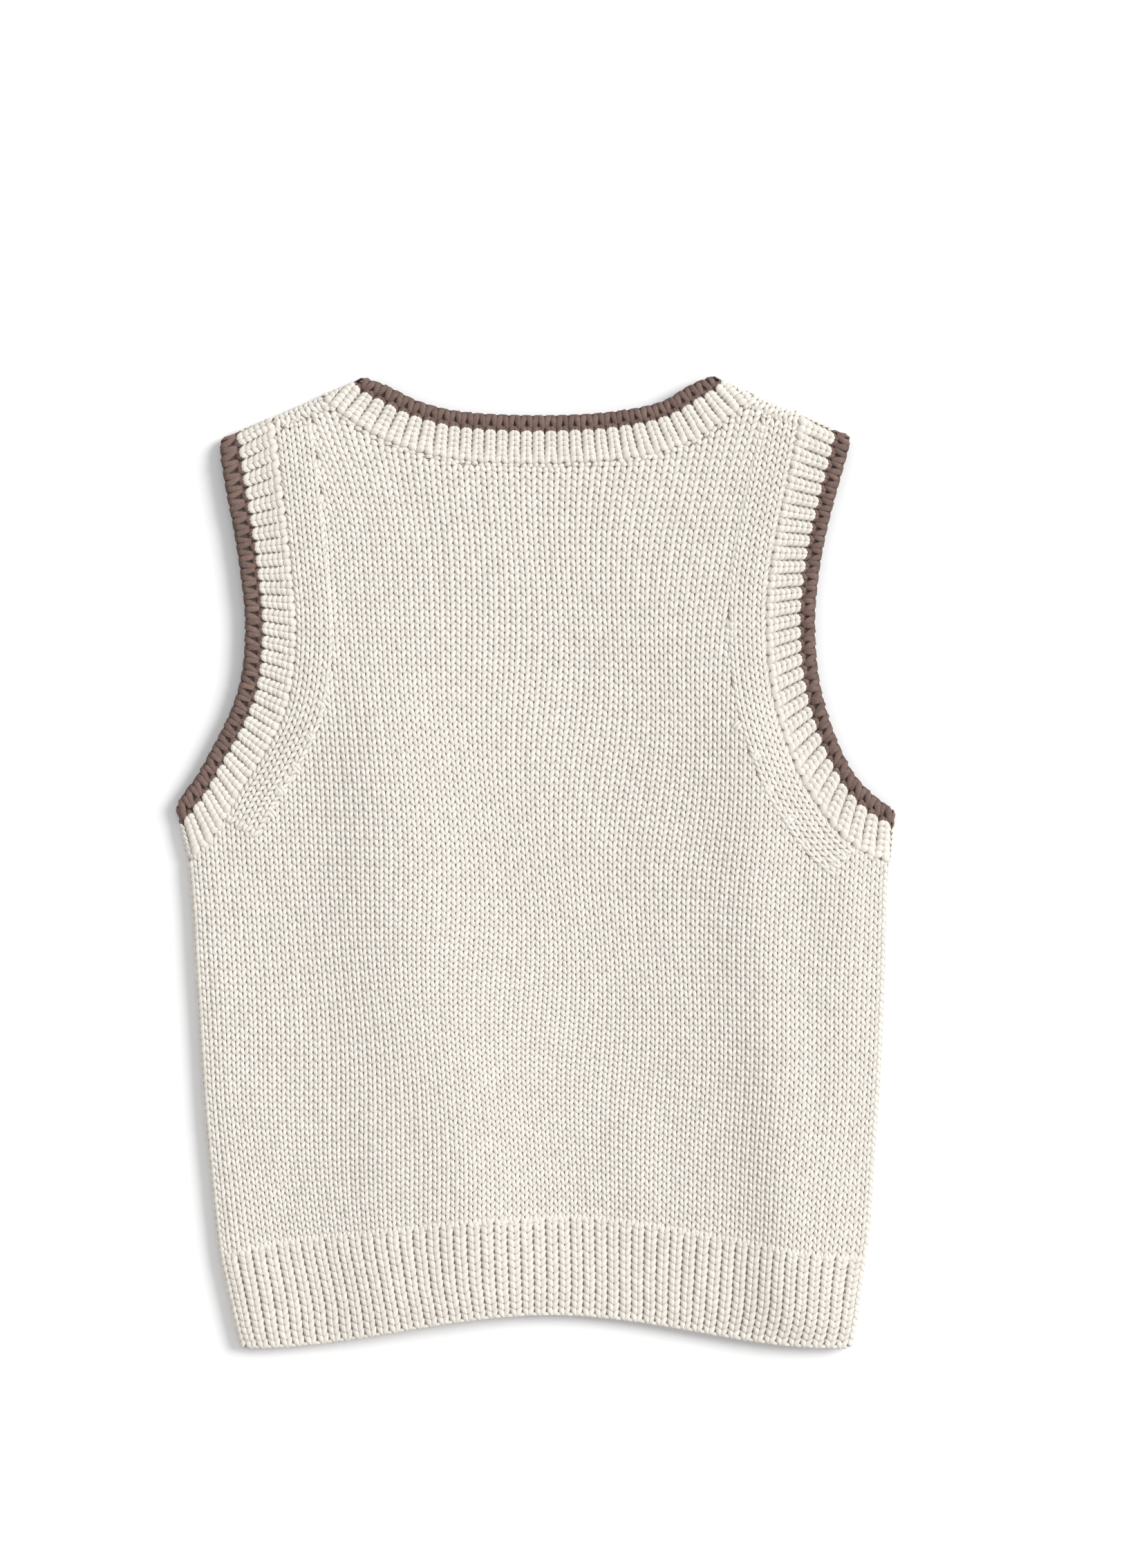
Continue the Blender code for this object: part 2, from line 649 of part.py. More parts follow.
def shoulder_row(side, depth, count):
    """Points across the front's shoulder where it lies on the back, at this depth below the fold."""
    fold = PLAN.shoulder_fold[side]
    arm = cut_at_depth(moved_in(PLAN.arm_seam[side], SEAM_GAP)[::-1], fold, depth)[0]
    neck = shifted(PLAN.neck_seam, -SEAM_GAP)
    neck = cut_at_depth(neck if side == "left" else neck[::-1], fold, depth)[0]
    ends = (arm, neck) if side == "left" else (neck, arm)
    return between(*ends, np.linspace(0.0, 1.0, count)[:, None])


def make_front():
    """The front: flat underneath, and turned up round the side folds and over the shoulder folds."""
    patch = panel_patch(FOLD_RADIUS, FOLD_RADIUS, FOLD_RADIUS, PLAN.front_neck_seam, FRONT_HEM_SHORTER)
    rows, columns = panel_shares(FRONT_SIDE_ROWS, FRONT_NECK_COLUMNS)
    rows = np.r_[hem_rows(), rows]
    turns = np.linspace(math.pi, 0.0, FOLD_STEPS + 1)[1:]
    outer, inner, faces = [], [], []

    def add(points, turn, normal):
        numbers = list(range(len(outer), len(outer) + len(points)))
        outer.extend(folded(points, turn, normal, FOLD_RADIUS).tolist())
        inner.extend(folded(points, turn, normal, INNER_RADIUS).tolist())
        return numbers

    flat = [add(patch.row(v, columns), math.pi, FLAT) for v in rows]
    for below, above in zip(flat, flat[1:]):
        faces += strip(below, above, columns, columns)
    low = [index for index, v in enumerate(rows) if v <= UNDERARM_SHARE + TINY]
    for side, end in (("left", 0), ("right", -1)):
        before = [flat[index][end] for index in low]
        edge = np.array([outer[index][:2] for index in before])
        normals = side_normals(side, len(edge))
        for turn in turns:
            now = add(edge, turn, normals)
            joined = strip(before, now, low, low)
            faces += joined if side == "left" else flipped(joined)
            before = now
    shoulders = {"left": slice(0, SHOULDER_COLUMNS + 1), "right": slice(-SHOULDER_COLUMNS - 1, None)}
    for side, picked in shoulders.items():
        normal = inward(PLAN.shoulder_fold[side], MIDDLE)
        before = flat[-1][picked]
        under = np.array([outer[index][:2] for index in before])
        over = shoulder_row(side, FOLD_RADIUS, len(under))
        for turn in turns:
            now = add(between(over, under, turn / math.pi), turn, normal)
            faces += strip(before, now, before, before)
            before = now
        now = add(shoulder_row(side, FOLD_RADIUS + SHOULDER_LIP, len(under)), 0.0, normal)
        faces += strip(before, now, before, before)
    return thick_sheet("front_panel", np.array(outer), np.array(inner), faces, "cream")


def make_band(names, ring, ribs, width, share, hidden_shares):
    """A ribbed band and its tipping, which meet along the same stations."""
    stations = ring.stations(*ribbing(ribs), hidden_shares)
    add_ring(names[0], ring.sections(stations, band_profile(share, width)), "cream")
    grooves = np.linspace(0.0, 1.0, ribs + 1)
    stations = ring.stations(grooves, np.zeros(ribs + 1), hidden_shares)
    add_ring(names[1], ring.sections(stations, tipping_profile(share)), "brown")


def make_bands():
    """The bands of the neck and of the two armholes."""
    back = (PLAN.neck_seam, PLAN.neck_edge)
    front = (PLAN.front_neck_seam, PLAN.front_neck_edge)
    ring = Ring(back, front, PLAN.shoulder_fold["left"], PLAN.shoulder_fold["right"])
    hidden = np.linspace(0.0, 1.0, FRONT_NECK_COLUMNS + 1)
    make_band(("neckband", "neck_tipping"), ring, NECK_RIBS, NECK_BAND_WIDTH, NECK_BAND_SHARE, hidden)
    for side in ("left", "right"):
        curves = (PLAN.arm_seam[side], PLAN.arm_edge[side])
        ring = Ring(curves, curves, PLAN.underarm_fold[side], PLAN.shoulder_fold[side])
        names = (f"armband_{side}", f"arm_tipping_{side}")
        make_band(names, ring, ARM_RIBS[side], ARM_BAND_WIDTH, ARM_BAND_SHARE, armhole_shares())


def clear_scene():
    for obj in list(bpy.data.objects):
        bpy.data.objects.remove(obj, do_unlink=True)


def main():
    clear_scene()
    make_back()
    make_front()
    make_bands()


main()
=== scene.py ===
"""A child's sleeveless knitted pullover, laid flat with its back up, dressed stitch by stitch.

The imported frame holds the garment's panels and bands as plain solids. Each is replaced here by a thin shell
on the same form, the ground of the knit, and by the yarn that is knitted over it: every leg of every stitch
is its own small strand, laid along the wales and courses of that piece. Sizes are in millimetres until a mesh
is made. +Y points to the neck, +X to the right of the back as it is seen, and +Z up from the surface.
"""

import logging
import math
from abc import ABC, abstractmethod
from dataclasses import dataclass, field
from enum import Enum

import bpy
import numpy as np
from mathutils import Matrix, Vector

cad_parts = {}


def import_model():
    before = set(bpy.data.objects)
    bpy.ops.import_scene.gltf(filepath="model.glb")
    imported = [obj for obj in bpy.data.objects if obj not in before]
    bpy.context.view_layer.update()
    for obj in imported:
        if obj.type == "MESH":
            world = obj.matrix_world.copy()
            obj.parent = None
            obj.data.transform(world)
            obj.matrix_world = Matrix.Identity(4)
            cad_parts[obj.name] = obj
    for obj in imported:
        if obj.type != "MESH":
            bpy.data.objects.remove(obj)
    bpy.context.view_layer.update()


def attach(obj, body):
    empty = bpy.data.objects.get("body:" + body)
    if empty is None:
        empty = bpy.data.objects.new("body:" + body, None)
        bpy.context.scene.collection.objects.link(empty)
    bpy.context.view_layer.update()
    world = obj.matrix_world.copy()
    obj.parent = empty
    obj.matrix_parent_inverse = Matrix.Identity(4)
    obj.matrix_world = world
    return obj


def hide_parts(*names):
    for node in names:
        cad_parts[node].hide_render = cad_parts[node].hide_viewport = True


MM = 0.001
TINY = 1e-9
LOG = logging.getLogger("pullover")

Array = np.ndarray
Curve = np.ndarray  # points in plan, one a row
Run = tuple[float, ...]
Table = tuple[Run, ...]


class Side(Enum):
    """The two sides of the garment, as its back is seen."""

    LEFT = "left"
    RIGHT = "right"

    @property
    def sign(self) -> int:
        """-1 for the left and 1 for the right."""
        return -1 if self is Side.LEFT else 1


# ---------------------------------------------------------------- curves in plan


def unit(vectors: Array) -> Array:
    """The vectors at length one, along the last axis."""
    return vectors / np.maximum(np.linalg.norm(vectors, axis=-1, keepdims=True), TINY)


def smooth(share: Array) -> Array:
    """A soft step from 0 to 1."""
    share = np.clip(share, 0.0, 1.0)
    return share * share * (3 - 2 * share)


def lengths_along(curve: Curve) -> Array:
    """How far along a polyline each of its points lies."""
    return np.r_[0.0, np.cumsum(np.linalg.norm(np.diff(curve, axis=0), axis=1))]


def between(where: Array, knots: Array, rows: Array) -> Array:
    """Points between the rows of a table, each of which stands at one of the knots."""
    return np.stack([np.interp(where, knots, column) for column in rows.T], axis=-1)


def evenly(curve: Curve, shares: Array) -> Curve:
    """Points at these shares of the length of a polyline, from 0 to 1."""
    lengths = lengths_along(curve)
    return between(np.asarray(shares, float) * lengths[-1], lengths, curve)


def smooth_curve(points: Table, samples: int = 400, steps: int = 24) -> Curve:
    """A smooth curve through a table's points.

    Args:
        points: The points that it goes through.
        samples: How many points the curve has, at even distances.
        steps: How many are worked out from one point of the table to the next.

    Returns:
        The curve.
    """
    table = np.asarray(points, float)
    ends = np.vstack([2 * table[0] - table[1], table, 2 * table[-1] - table[-2]])
    step = np.linspace(0.0, 1.0, steps, endpoint=False)[:, None]
    runs = []
    for before, start, stop, after in zip(ends, ends[1:], ends[2:], ends[3:]):
        run = 2 * start + (stop - before) * step
        run = run + (2 * before - 5 * start + 4 * stop - after) * step**2
        runs.append((run + (3 * start - before - 3 * stop + after) * step**3) / 2)
    return evenly(np.vstack(runs + [table[-1:]]), np.linspace(0.0, 1.0, samples))


def left_normals(curve: Curve) -> Curve:
    """Unit normals of a curve, to its left."""
    along = unit(np.gradient(curve, axis=0))
    return np.stack([-along[:, 1], along[:, 0]], axis=1)


def distance_to(line: Curve, points: Curve) -> Array:
    """Distance of points from a polyline.

    Args:
        line: The polyline.
        points: The points.

    Returns:
        The distance of each point.
    """
    run = line[1:] - line[:-1]
    found = np.full(len(points), np.inf)
    for origin, step, square in zip(line, run, np.maximum((run**2).sum(axis=1), TINY)):
        away = points - origin
        share = np.clip(away @ step / square, 0.0, 1.0)
        found = np.minimum(found, np.linalg.norm(away - share[:, None] * step, axis=1))
    return found


def inside(line: Curve, points: Curve) -> Array:
    """Whether points lie inside a closed polyline.

    Args:
        line: The polyline.
        points: The points.

    Returns:
        True for each point that is inside.
    """
    crossings = np.zeros(len(points), int)
    for start, stop in zip(line, np.roll(line, -1, axis=0)):
        spans = (start[1] > points[:, 1]) != (stop[1] > points[:, 1])
        rise = stop[1] - start[1] if abs(stop[1] - start[1]) > TINY else TINY
        crossing = start[0] + (points[:, 1] - start[1]) * (stop[0] - start[0]) / rise
        crossings += spans & (points[:, 0] < crossing)
    return crossings % 2 == 1


def cut_at_depth(curve: Curve, fold: Curve, depth: float) -> Curve:
    """The part of a curve further than depth from the fold that it leaves at its first end.

    Args:
        curve: The curve.
        fold: Two points of the fold line.
        depth: How far from the line the curve starts.

    Returns:
        The shortened curve.
    """
    along = unit(fold[1] - fold[0])
    far = np.abs(along[0] * (curve[:, 1] - fold[0, 1]) - along[1] * (curve[:, 0] - fold[0, 0]))
    first = int(np.argmax(far > depth))
    share = (depth - far[first - 1]) / (far[first] - far[first - 1]) if first else 0.0
    start = curve[max(first - 1, 0)] * (1 - share) + curve[first] * share
    return np.vstack([start, curve[first:]])


def cut_both(curve: Curve, first: Curve, last: Curve, depth: float) -> Curve:
    """The curve without the stretches nearer than depth to the folds at its two ends."""
    return cut_at_depth(cut_at_depth(curve, first, depth)[::-1], last, depth)[::-1]


# ---------------------------------------------------------------- the garment in plan

SHOULDER_SHARE = 0.10  # of a panel's width at its top, on each side
UNDERARM_SHARE = 0.5  # of a panel's height in rows, where the side edge ends and the armhole begins


@dataclass
class Panel:
    """A panel's plan, spanned between its four edges: u runs across it and v up it.

    Each edge is a list of stretches: the share of the edge at which one ends, and its curve.
    """

    edges: dict[str, list[tuple[float, Curve]]]
    border_steps: int = 90

    def on_edge(self, name: str, shares: Array) -> Array:
        """Points along an edge.

        Args:
            name: Which edge.
            shares: How far along it, from 0 to 1.

        Returns:
            One point a share.
        """
        points = np.zeros((*np.shape(shares), 2))
        start = 0.0
        for stop, curve in self.edges[name]:
            here = (shares >= start) & (shares <= stop)
            points[here] = evenly(curve, (shares[here] - start) / (stop - start))
            start = stop
        return points

    def at(self, u: Array, v: Array) -> Array:
        """Points of the panel in plan.

        Args:
            u: Shares across it.
            v: Shares up it, of the same shape.

        Returns:
            The points, with x and y on the last axis.
        """
        ends = np.array([0.0, 1.0])
        (low_left, low_right), (top_left, top_right) = (self.on_edge(e, ends) for e in ("bottom", "top"))
        u1, v1 = u[..., None], v[..., None]
        across = (1 - u1) * self.on_edge("left", v) + u1 * self.on_edge("right", v)
        up = (1 - v1) * self.on_edge("bottom", u) + v1 * self.on_edge("top", u)
        spanned = (1 - v1) * ((1 - u1) * low_left + u1 * low_right)
        return across + up - spanned - v1 * ((1 - u1) * top_left + u1 * top_right)

    def border(self) -> Curve:
        """The panel's outline as a closed polyline."""
        steps = np.linspace(0.0, 1.0, self.border_steps)
        order = (("left", steps), ("top", steps), ("right", steps[::-1]), ("bottom", steps[::-1]))
        return np.vstack([self.on_edge(name, shares) for name, shares in order])


@dataclass
class GarmentPlan:
    """The cut of the garment as it lies: its edges, seams and folds, in mm from the centre of its box."""

    fold_radius: float = 3.0  # of the outer face where the cloth folds: half the height of the two layers
    seam_gap: float = 0.3
    shoulder_lip: float = 3.4  # how far the front reaches past the shoulder fold, on the back
    hem_arch_centre: float = 5.0
    hem_arch_half_span: float = 137.6
    hem_arch_rise: float = 15.4
    hem_height: float = 45.5
    hem_samples: int = 100
    middle: tuple[float, float] = (0.0, 60.0)  # a place well inside the garment
    # the side edges, and the armholes' edges and seams, each on the left and on the right
    side_points: tuple[Table, Table] = (
        (
            (-136.6, -225.4), (-139.2, -216), (-143, -199), (-147, -180), (-150.2, -152),
            (-153.8, -114), (-156.2, -75), (-158.2, -43), (-159.2, -24), (-161.2, -0.5),
        ), (
            (147, -224.9), (149.4, -215), (152.2, -195), (155.6, -171), (158.2, -133),
            (160.8, -95), (162.4, -56), (163.2, -27), (163.8, -9), (164.4, -1.8),
        ),
    )  # fmt: skip
    arm_edge_points: tuple[Table, Table] = (
        (
            (-166.3, 22.5), (-162.4, 31.2), (-156, 39.8), (-150.6, 49.4), (-141, 68.6), (-135.5, 87.8),
            (-134.2, 111.8), (-136.8, 135.8), (-140, 155), (-143.8, 174.2), (-146.7, 194.4),
        ), (
            (166.9, 23.2), (156, 30.9), (147.7, 39.8), (142.2, 49.4), (134.9, 68.6), (130.7, 87.8),
            (129.4, 111.8), (131.7, 135.8), (135.5, 155), (140.6, 174.2), (147, 196),
        ),
    )  # fmt: skip
    arm_seam_points: tuple[Table, Table] = (
        (
            (-160.6, -0.5), (-154.7, 4.3), (-148.6, 10.7), (-142.5, 20), (-134.9, 33.8), (-125, 48.8),
            (-114.1, 71.8), (-110.2, 103.8), (-113.1, 142.2), (-118.2, 187), (-120.8, 205.3),
        ), (
            (164.4, -1.8), (149, 4.6), (137.8, 14.5), (129.1, 26.1), (121.4, 38.9), (112.5, 61.9),
            (107.7, 84.6), (106.1, 111.8), (108.6, 139.4), (117.9, 185.4), (122.1, 207.2),
        ),
    )  # fmt: skip
    # the edge and the seam of the neck, on the back and on the front
    back_neck_points: tuple[Table, Table] = (
        (
            (-78.6, 223.8), (-65.4, 218.1), (-52.6, 212), (-33.4, 207.5), (-1.4, 205.9), (30.6, 207),
            (56.2, 211.4), (69, 218.4), (80.8, 224.5),
        ), (
            (-100, 214.5), (-91, 206.9), (-69, 193.4), (-37, 184.8), (5, 182.9), (47.2, 185.8),
            (74.1, 194.7), (94.6, 208.8), (102.2, 215.5),
        ),
    )  # fmt: skip
    front_neck_points: tuple[Table, Table] = (
        (
            (-78.6, 223.8), (-62, 192), (-30, 145), (-5, 111), (1, 107), (7, 111), (32, 145), (64, 192),
            (80.8, 224.5),
        ), (
            (-100, 214.5), (-82.5, 181), (-49, 131), (-9, 80), (1, 73), (11, 80), (51, 131), (84.5, 181),
            (102.2, 215.5),
        ),
    )  # fmt: skip

    def __post_init__(self) -> None:
        """Draws the curves through the tables."""
        self.side, self.arm_edge, self.arm_seam = (
            {side: smooth_curve(points) for side, points in zip(Side, pair)}
            for pair in (self.side_points, self.arm_edge_points, self.arm_seam_points)
        )
        self.neck_edge, self.neck_seam, self.front_neck_edge, self.front_neck_seam = (
            smooth_curve(points) for points in self.back_neck_points + self.front_neck_points
        )
        self.underarm_fold = {
            side: np.array([self.arm_seam[side][0], self.arm_edge[side][0]]) for side in Side
        }
        self.shoulder_fold = {
            side: np.array([self.arm_edge[side][-1], self.neck_edge[end]]) for side, end in zip(Side, (0, -1))
        }

    def hem_arch(self, x: Array) -> Array:
        """How far the hem's edge arches up above its corners, at x."""
        angle = np.clip((x - self.hem_arch_centre) / self.hem_arch_half_span, -1.0, 1.0) * math.pi / 2
        return self.hem_arch_rise * np.cos(angle) ** 2

    def hem_line(self, start: Array, stop: Array) -> Curve:
        """The hem's arched edge between two corners."""
        share = np.linspace(0.0, 1.0, self.hem_samples)[:, None]
        edge = start * (1 - share) + stop * share
        edge[:, 1] += self.hem_arch(edge[:, 0])
        return edge

    def inward(self, line: Curve) -> Array:
        """Unit normal of a fold line, into the garment."""
        along = unit(line[1] - line[0])
        normal = np.array([-along[1], along[0]])
        return normal if np.dot(np.array(self.middle) - line[0], normal) > 0 else -normal

    def moved_in(self, curve: Curve, side: Side, distance: float) -> Curve:
        """A side edge or armhole seam, moved towards the middle of the garment."""
        return curve + side.sign * distance * left_normals(curve)

    def below_neck(self, seam: Curve) -> Curve:
        """A seam of the neckband, moved clear of the band."""
        return seam - self.seam_gap * left_normals(seam)

    def panel(self, inset: float, shoulder_inset: float, neck_seam: Curve) -> Panel:
        """A panel, clear of the seams and of the folds.

        Args:
            inset: How far it stays inside the side edges and the underarm folds.
            shoulder_inset: How far it stays below the shoulder folds.
            neck_seam: Where the neckband joins it.

        Returns:
            The panel.
        """
        edges, corners = {}, []
        for side in Side:
            seam = self.moved_in(self.arm_seam[side], side, self.seam_gap)
            seam = cut_at_depth(seam, self.underarm_fold[side], inset)
            armhole = cut_at_depth(seam[::-1], self.shoulder_fold[side], shoulder_inset)[::-1]
            low = self.moved_in(self.side[side], side, inset)
            low = np.vstack([low[low[:, 1] < armhole[0][1] - 2 * self.seam_gap], armhole[0]])
            edges[side.value] = [(UNDERARM_SHARE, low), (1.0, armhole)]
            corners.append((low[0], armhole[-1]))
        (low_left, top_left), (low_right, top_right) = corners
        neck = cut_both(self.below_neck(neck_seam), *self.shoulder_fold.values(), shoulder_inset)
        edges["bottom"] = [(1.0, self.hem_line(low_left, low_right))]
        edges["top"] = [
            (SHOULDER_SHARE, np.array([top_left, neck[0]])),
            (1.0 - SHOULDER_SHARE, neck),
            (1.0, np.array([neck[-1], top_right])),
        ]
        return Panel(edges)


# ---------------------------------------------------------------- the lie of the back


@dataclass(frozen=True)
class Crease:
    """A soft trough or ridge of the cloth, along a line in plan."""

    name: str
    line: Table
    half_width: float
    height: float  # below 0 for a trough


BROAD_FOLDS = (
    Crease("long crest, steep side", ((-75, 44), (-73, -30), (-72, -212)), 21, 1.6),
    Crease("long crest, steep side, low", ((-74, -138), (-72, -212)), 18, 1),
    Crease("long crest, gentle side", ((-64, 60), (-53, -30), (-38, -160), (-36, -204)), 30, 4),
    Crease("long crest, gentle side, low", ((-32, -106), (-24, -168)), 22, 2),
    Crease("middle hollow", ((26, 74), (36, -60), (42, -176)), 36, -1.5),
    Crease("right crest", ((98, 56), (103, -26), (112, -105), (116, -204)), 18, 2.7),
    Crease("right crest, low", ((110, -84), (116, -196)), 16, 1.3),
    Crease("right side swell", ((142, -10), (138, -190)), 17, 1.2),
    Crease("small rise", ((45, -124), (47, -156)), 12, 1),
    Crease("left armhole swell", ((-105, 178), (-99, 110), (-107, 60), (-132, 12)), 9, 0.6),
    Crease("right armhole swell", ((104, 178), (96, 110), (102, 60), (128, 10)), 9, 0.35),
    Crease("yoke hollow", ((-40, 150), (44, 146)), 24, -0.6),
)
SMALL_CREASES = (
    Crease("left underarm pull", ((-143, 2), (-112, -26)), 6, -0.3),
    Crease("left underarm pull below", ((-152, -12), (-128, -48)), 7, -0.25),
    Crease("right underarm pull", ((140, 4), (108, -20)), 7, -0.35),
    Crease("right underarm pull below", ((155, -16), (132, -44)), 6, -0.2),
    Crease("left of the neck", ((-70, 188), (-52, 158)), 8, -0.3),
    Crease("right of the neck", ((72, 190), (60, 152)), 9, -0.35),
    Crease("flute above the hem, far left", ((-117, -176), (-113, -141)), 6, -0.35),
    Crease("flute above the hem, left", ((-84, -168), (-82, -128)), 7, -0.3),
    Crease("flute above the hem, middle", ((14, -168), (19, -133)), 7, -0.35),
    Crease("flute above the hem, right", ((103, -176), (101, -150)), 6, -0.25),
    Crease("low wave", ((-34, -96), (28, -84)), 12, -0.2),
    Crease("high wave", ((-8, 96), (62, 84)), 13, -0.25),
    Crease("hip wave", ((-140, -88), (-112, -96)), 9, -0.25),
)


@dataclass
class Relief:
    """Height of the back over its lowest lie, kept on a raster in plan."""

    plan: GarmentPlan
    base: float = 2.4
    rolls: tuple[float, float] = (15.0, 25.0)  # distance from a folded edge, left and right, where it is full
    shoulder_roll: float = 13.0
    band: float = 17.0  # distance from a band's edge at which it begins to be full
    reach: float = 13.0  # further on, where it is full
    band_share: float = 0.8  # how much of it the bands have
    hem_reach: float = 12.0
    hem_share: float = 0.7  # how much of it the hem's edge has
    neck_sag: float = 1.0  # where the front's neck opening leaves the back nothing to lie on
    sag_start: float = 4.0
    sag_reach: float = 45.0
    pitch: float = 2.0
    half_size: tuple[float, float] = (176.0, 234.0)
    every: int = 8  # which points of an edge are used
    every_of_neck: int = 12

    def __post_init__(self) -> None:
        """Fills the raster."""
        plan = self.plan
        self.count = [int(2 * half / self.pitch) + 1 for half in self.half_size]
        axes = [np.linspace(-half, half, count) for half, count in zip(self.half_size, self.count)]
        points = np.stack(np.meshgrid(*axes, indexing="ij"), axis=-1).reshape(-1, 2)
        full = np.ones(len(points))
        for side, roll in zip(Side, self.rolls):
            for line, reach in (
                (plan.side[side][:: self.every], roll),
                (plan.underarm_fold[side], roll),
                (plan.shoulder_fold[side], self.shoulder_roll),
            ):
                full = np.minimum(full, 1 - (1 - np.clip(distance_to(line, points) / reach, 0.0, 1.0)) ** 2)
        edges = [line[:: self.every] for line in (*plan.arm_edge.values(), plan.neck_edge)]
        from_band = np.min([distance_to(line, points) for line in edges], axis=0)
        from_hem = distance_to(plan.hem_line(*(plan.side[side][0] for side in Side)), points)
        full *= self.band_share + (1 - self.band_share) * smooth((from_band - self.band) / self.reach)
        full *= self.hem_share + (1 - self.hem_share) * smooth(from_hem / self.hem_reach)
        height = np.full(len(points), self.base)
        for crease in BROAD_FOLDS + SMALL_CREASES:
            away = distance_to(np.array(crease.line), points)
            height += crease.height * np.exp(-((away / crease.half_width) ** 2))
        opening = plan.front_neck_edge[:: self.every_of_neck]
        depth = distance_to(opening, points) * inside(opening, points)
        height = height * full - self.neck_sag * smooth((depth - self.sag_start) / self.sag_reach)
        self.raster = height.reshape(self.count)

    def at(self, x: Array, y: Array) -> Array:
        """Height between the raster's own points.

        Args:
            x: Where it is wanted, in x.
            y: The same in y.

        Returns:
            The heights.
        """
        where = [(value + half) / self.pitch for value, half in zip((x, y), self.half_size)]
        i, j = (np.clip(w.astype(int), 0, count - 2) for w, count in zip(where, self.count))
        fx, fy = where[0] - i, where[1] - j
        low = self.raster[i, j] * (1 - fx) + self.raster[i + 1, j] * fx
        high = self.raster[i, j + 1] * (1 - fx) + self.raster[i + 1, j + 1] * fx
        return low * (1 - fy) + high * fy


@dataclass
class Lie:
    """How the two layers lie: the back on top, the front underneath, and the turns between them."""

    plan: GarmentPlan
    relief: Relief

    def on_top(self, plan: Array, h: Array) -> Array:
        """Points of the upper layer, h mm out of its face."""
        height = 2 * self.plan.fold_radius + self.relief.at(plan[..., 0], plan[..., 1]) + h
        return np.concatenate([plan, height[..., None]], axis=-1)

    def turned(self, plan: Array, turn: Array, normal: Array, h: Array) -> Array:
        """Points of cloth on its way round a fold.

        Args:
            plan: Where the flat cloth ends, in plan.
            turn: How far it is turned: 0 on top, pi underneath.
            normal: Unit vector in plan, into the garment.
            h: Distance out of the face.

        Returns:
            The points.
        """
        radius = self.plan.fold_radius + h
        where = plan - (radius * np.sin(turn))[..., None] * normal
        over = (1 + np.cos(turn)) / 2
        height = self.plan.fold_radius + radius * np.cos(turn)
        height = height + over * self.relief.at(where[..., 0], where[..., 1])
        return np.concatenate([where, height[..., None]], axis=-1)


@dataclass
class FoldLine:
    """A fold across a band: cloth that runs over it turns under."""

    lie: Lie
    line: Curve

    def __post_init__(self) -> None:
        """Finds the way into the garment."""
        self.normal = self.lie.plan.inward(self.line)
        self.radius = self.lie.plan.fold_radius

    def depth(self, plan: Array) -> Array:
        """How far points lie inside the fold."""
        return (plan - self.line[0]) @ self.normal

    def unfolded(self, plan: Array) -> Array:
        """Where points of the lower layer would lie with the cloth opened out flat, beyond the fold."""
        away = 2 * self.depth(plan) + (math.pi - 2) * self.radius
        return plan - away[..., None] * self.normal

    def folded(self, plan: Array, h: Array) -> Array:
        """Points of the opened cloth, turned under where they lie beyond the fold.

        Args:
            plan: The points in the plane of the back.
            h: Distance out of the face.

        Returns:
            The points in the garment as it lies.
        """
        run = np.maximum(self.radius - self.depth(plan), 0.0)
        past = np.maximum(run - math.pi * self.radius, 0.0)
        turn = np.minimum(run / self.radius, math.pi)
        on = plan + (run + past)[..., None] * self.normal
        return self.lie.turned(on, turn, np.broadcast_to(self.normal, on.shape), h)


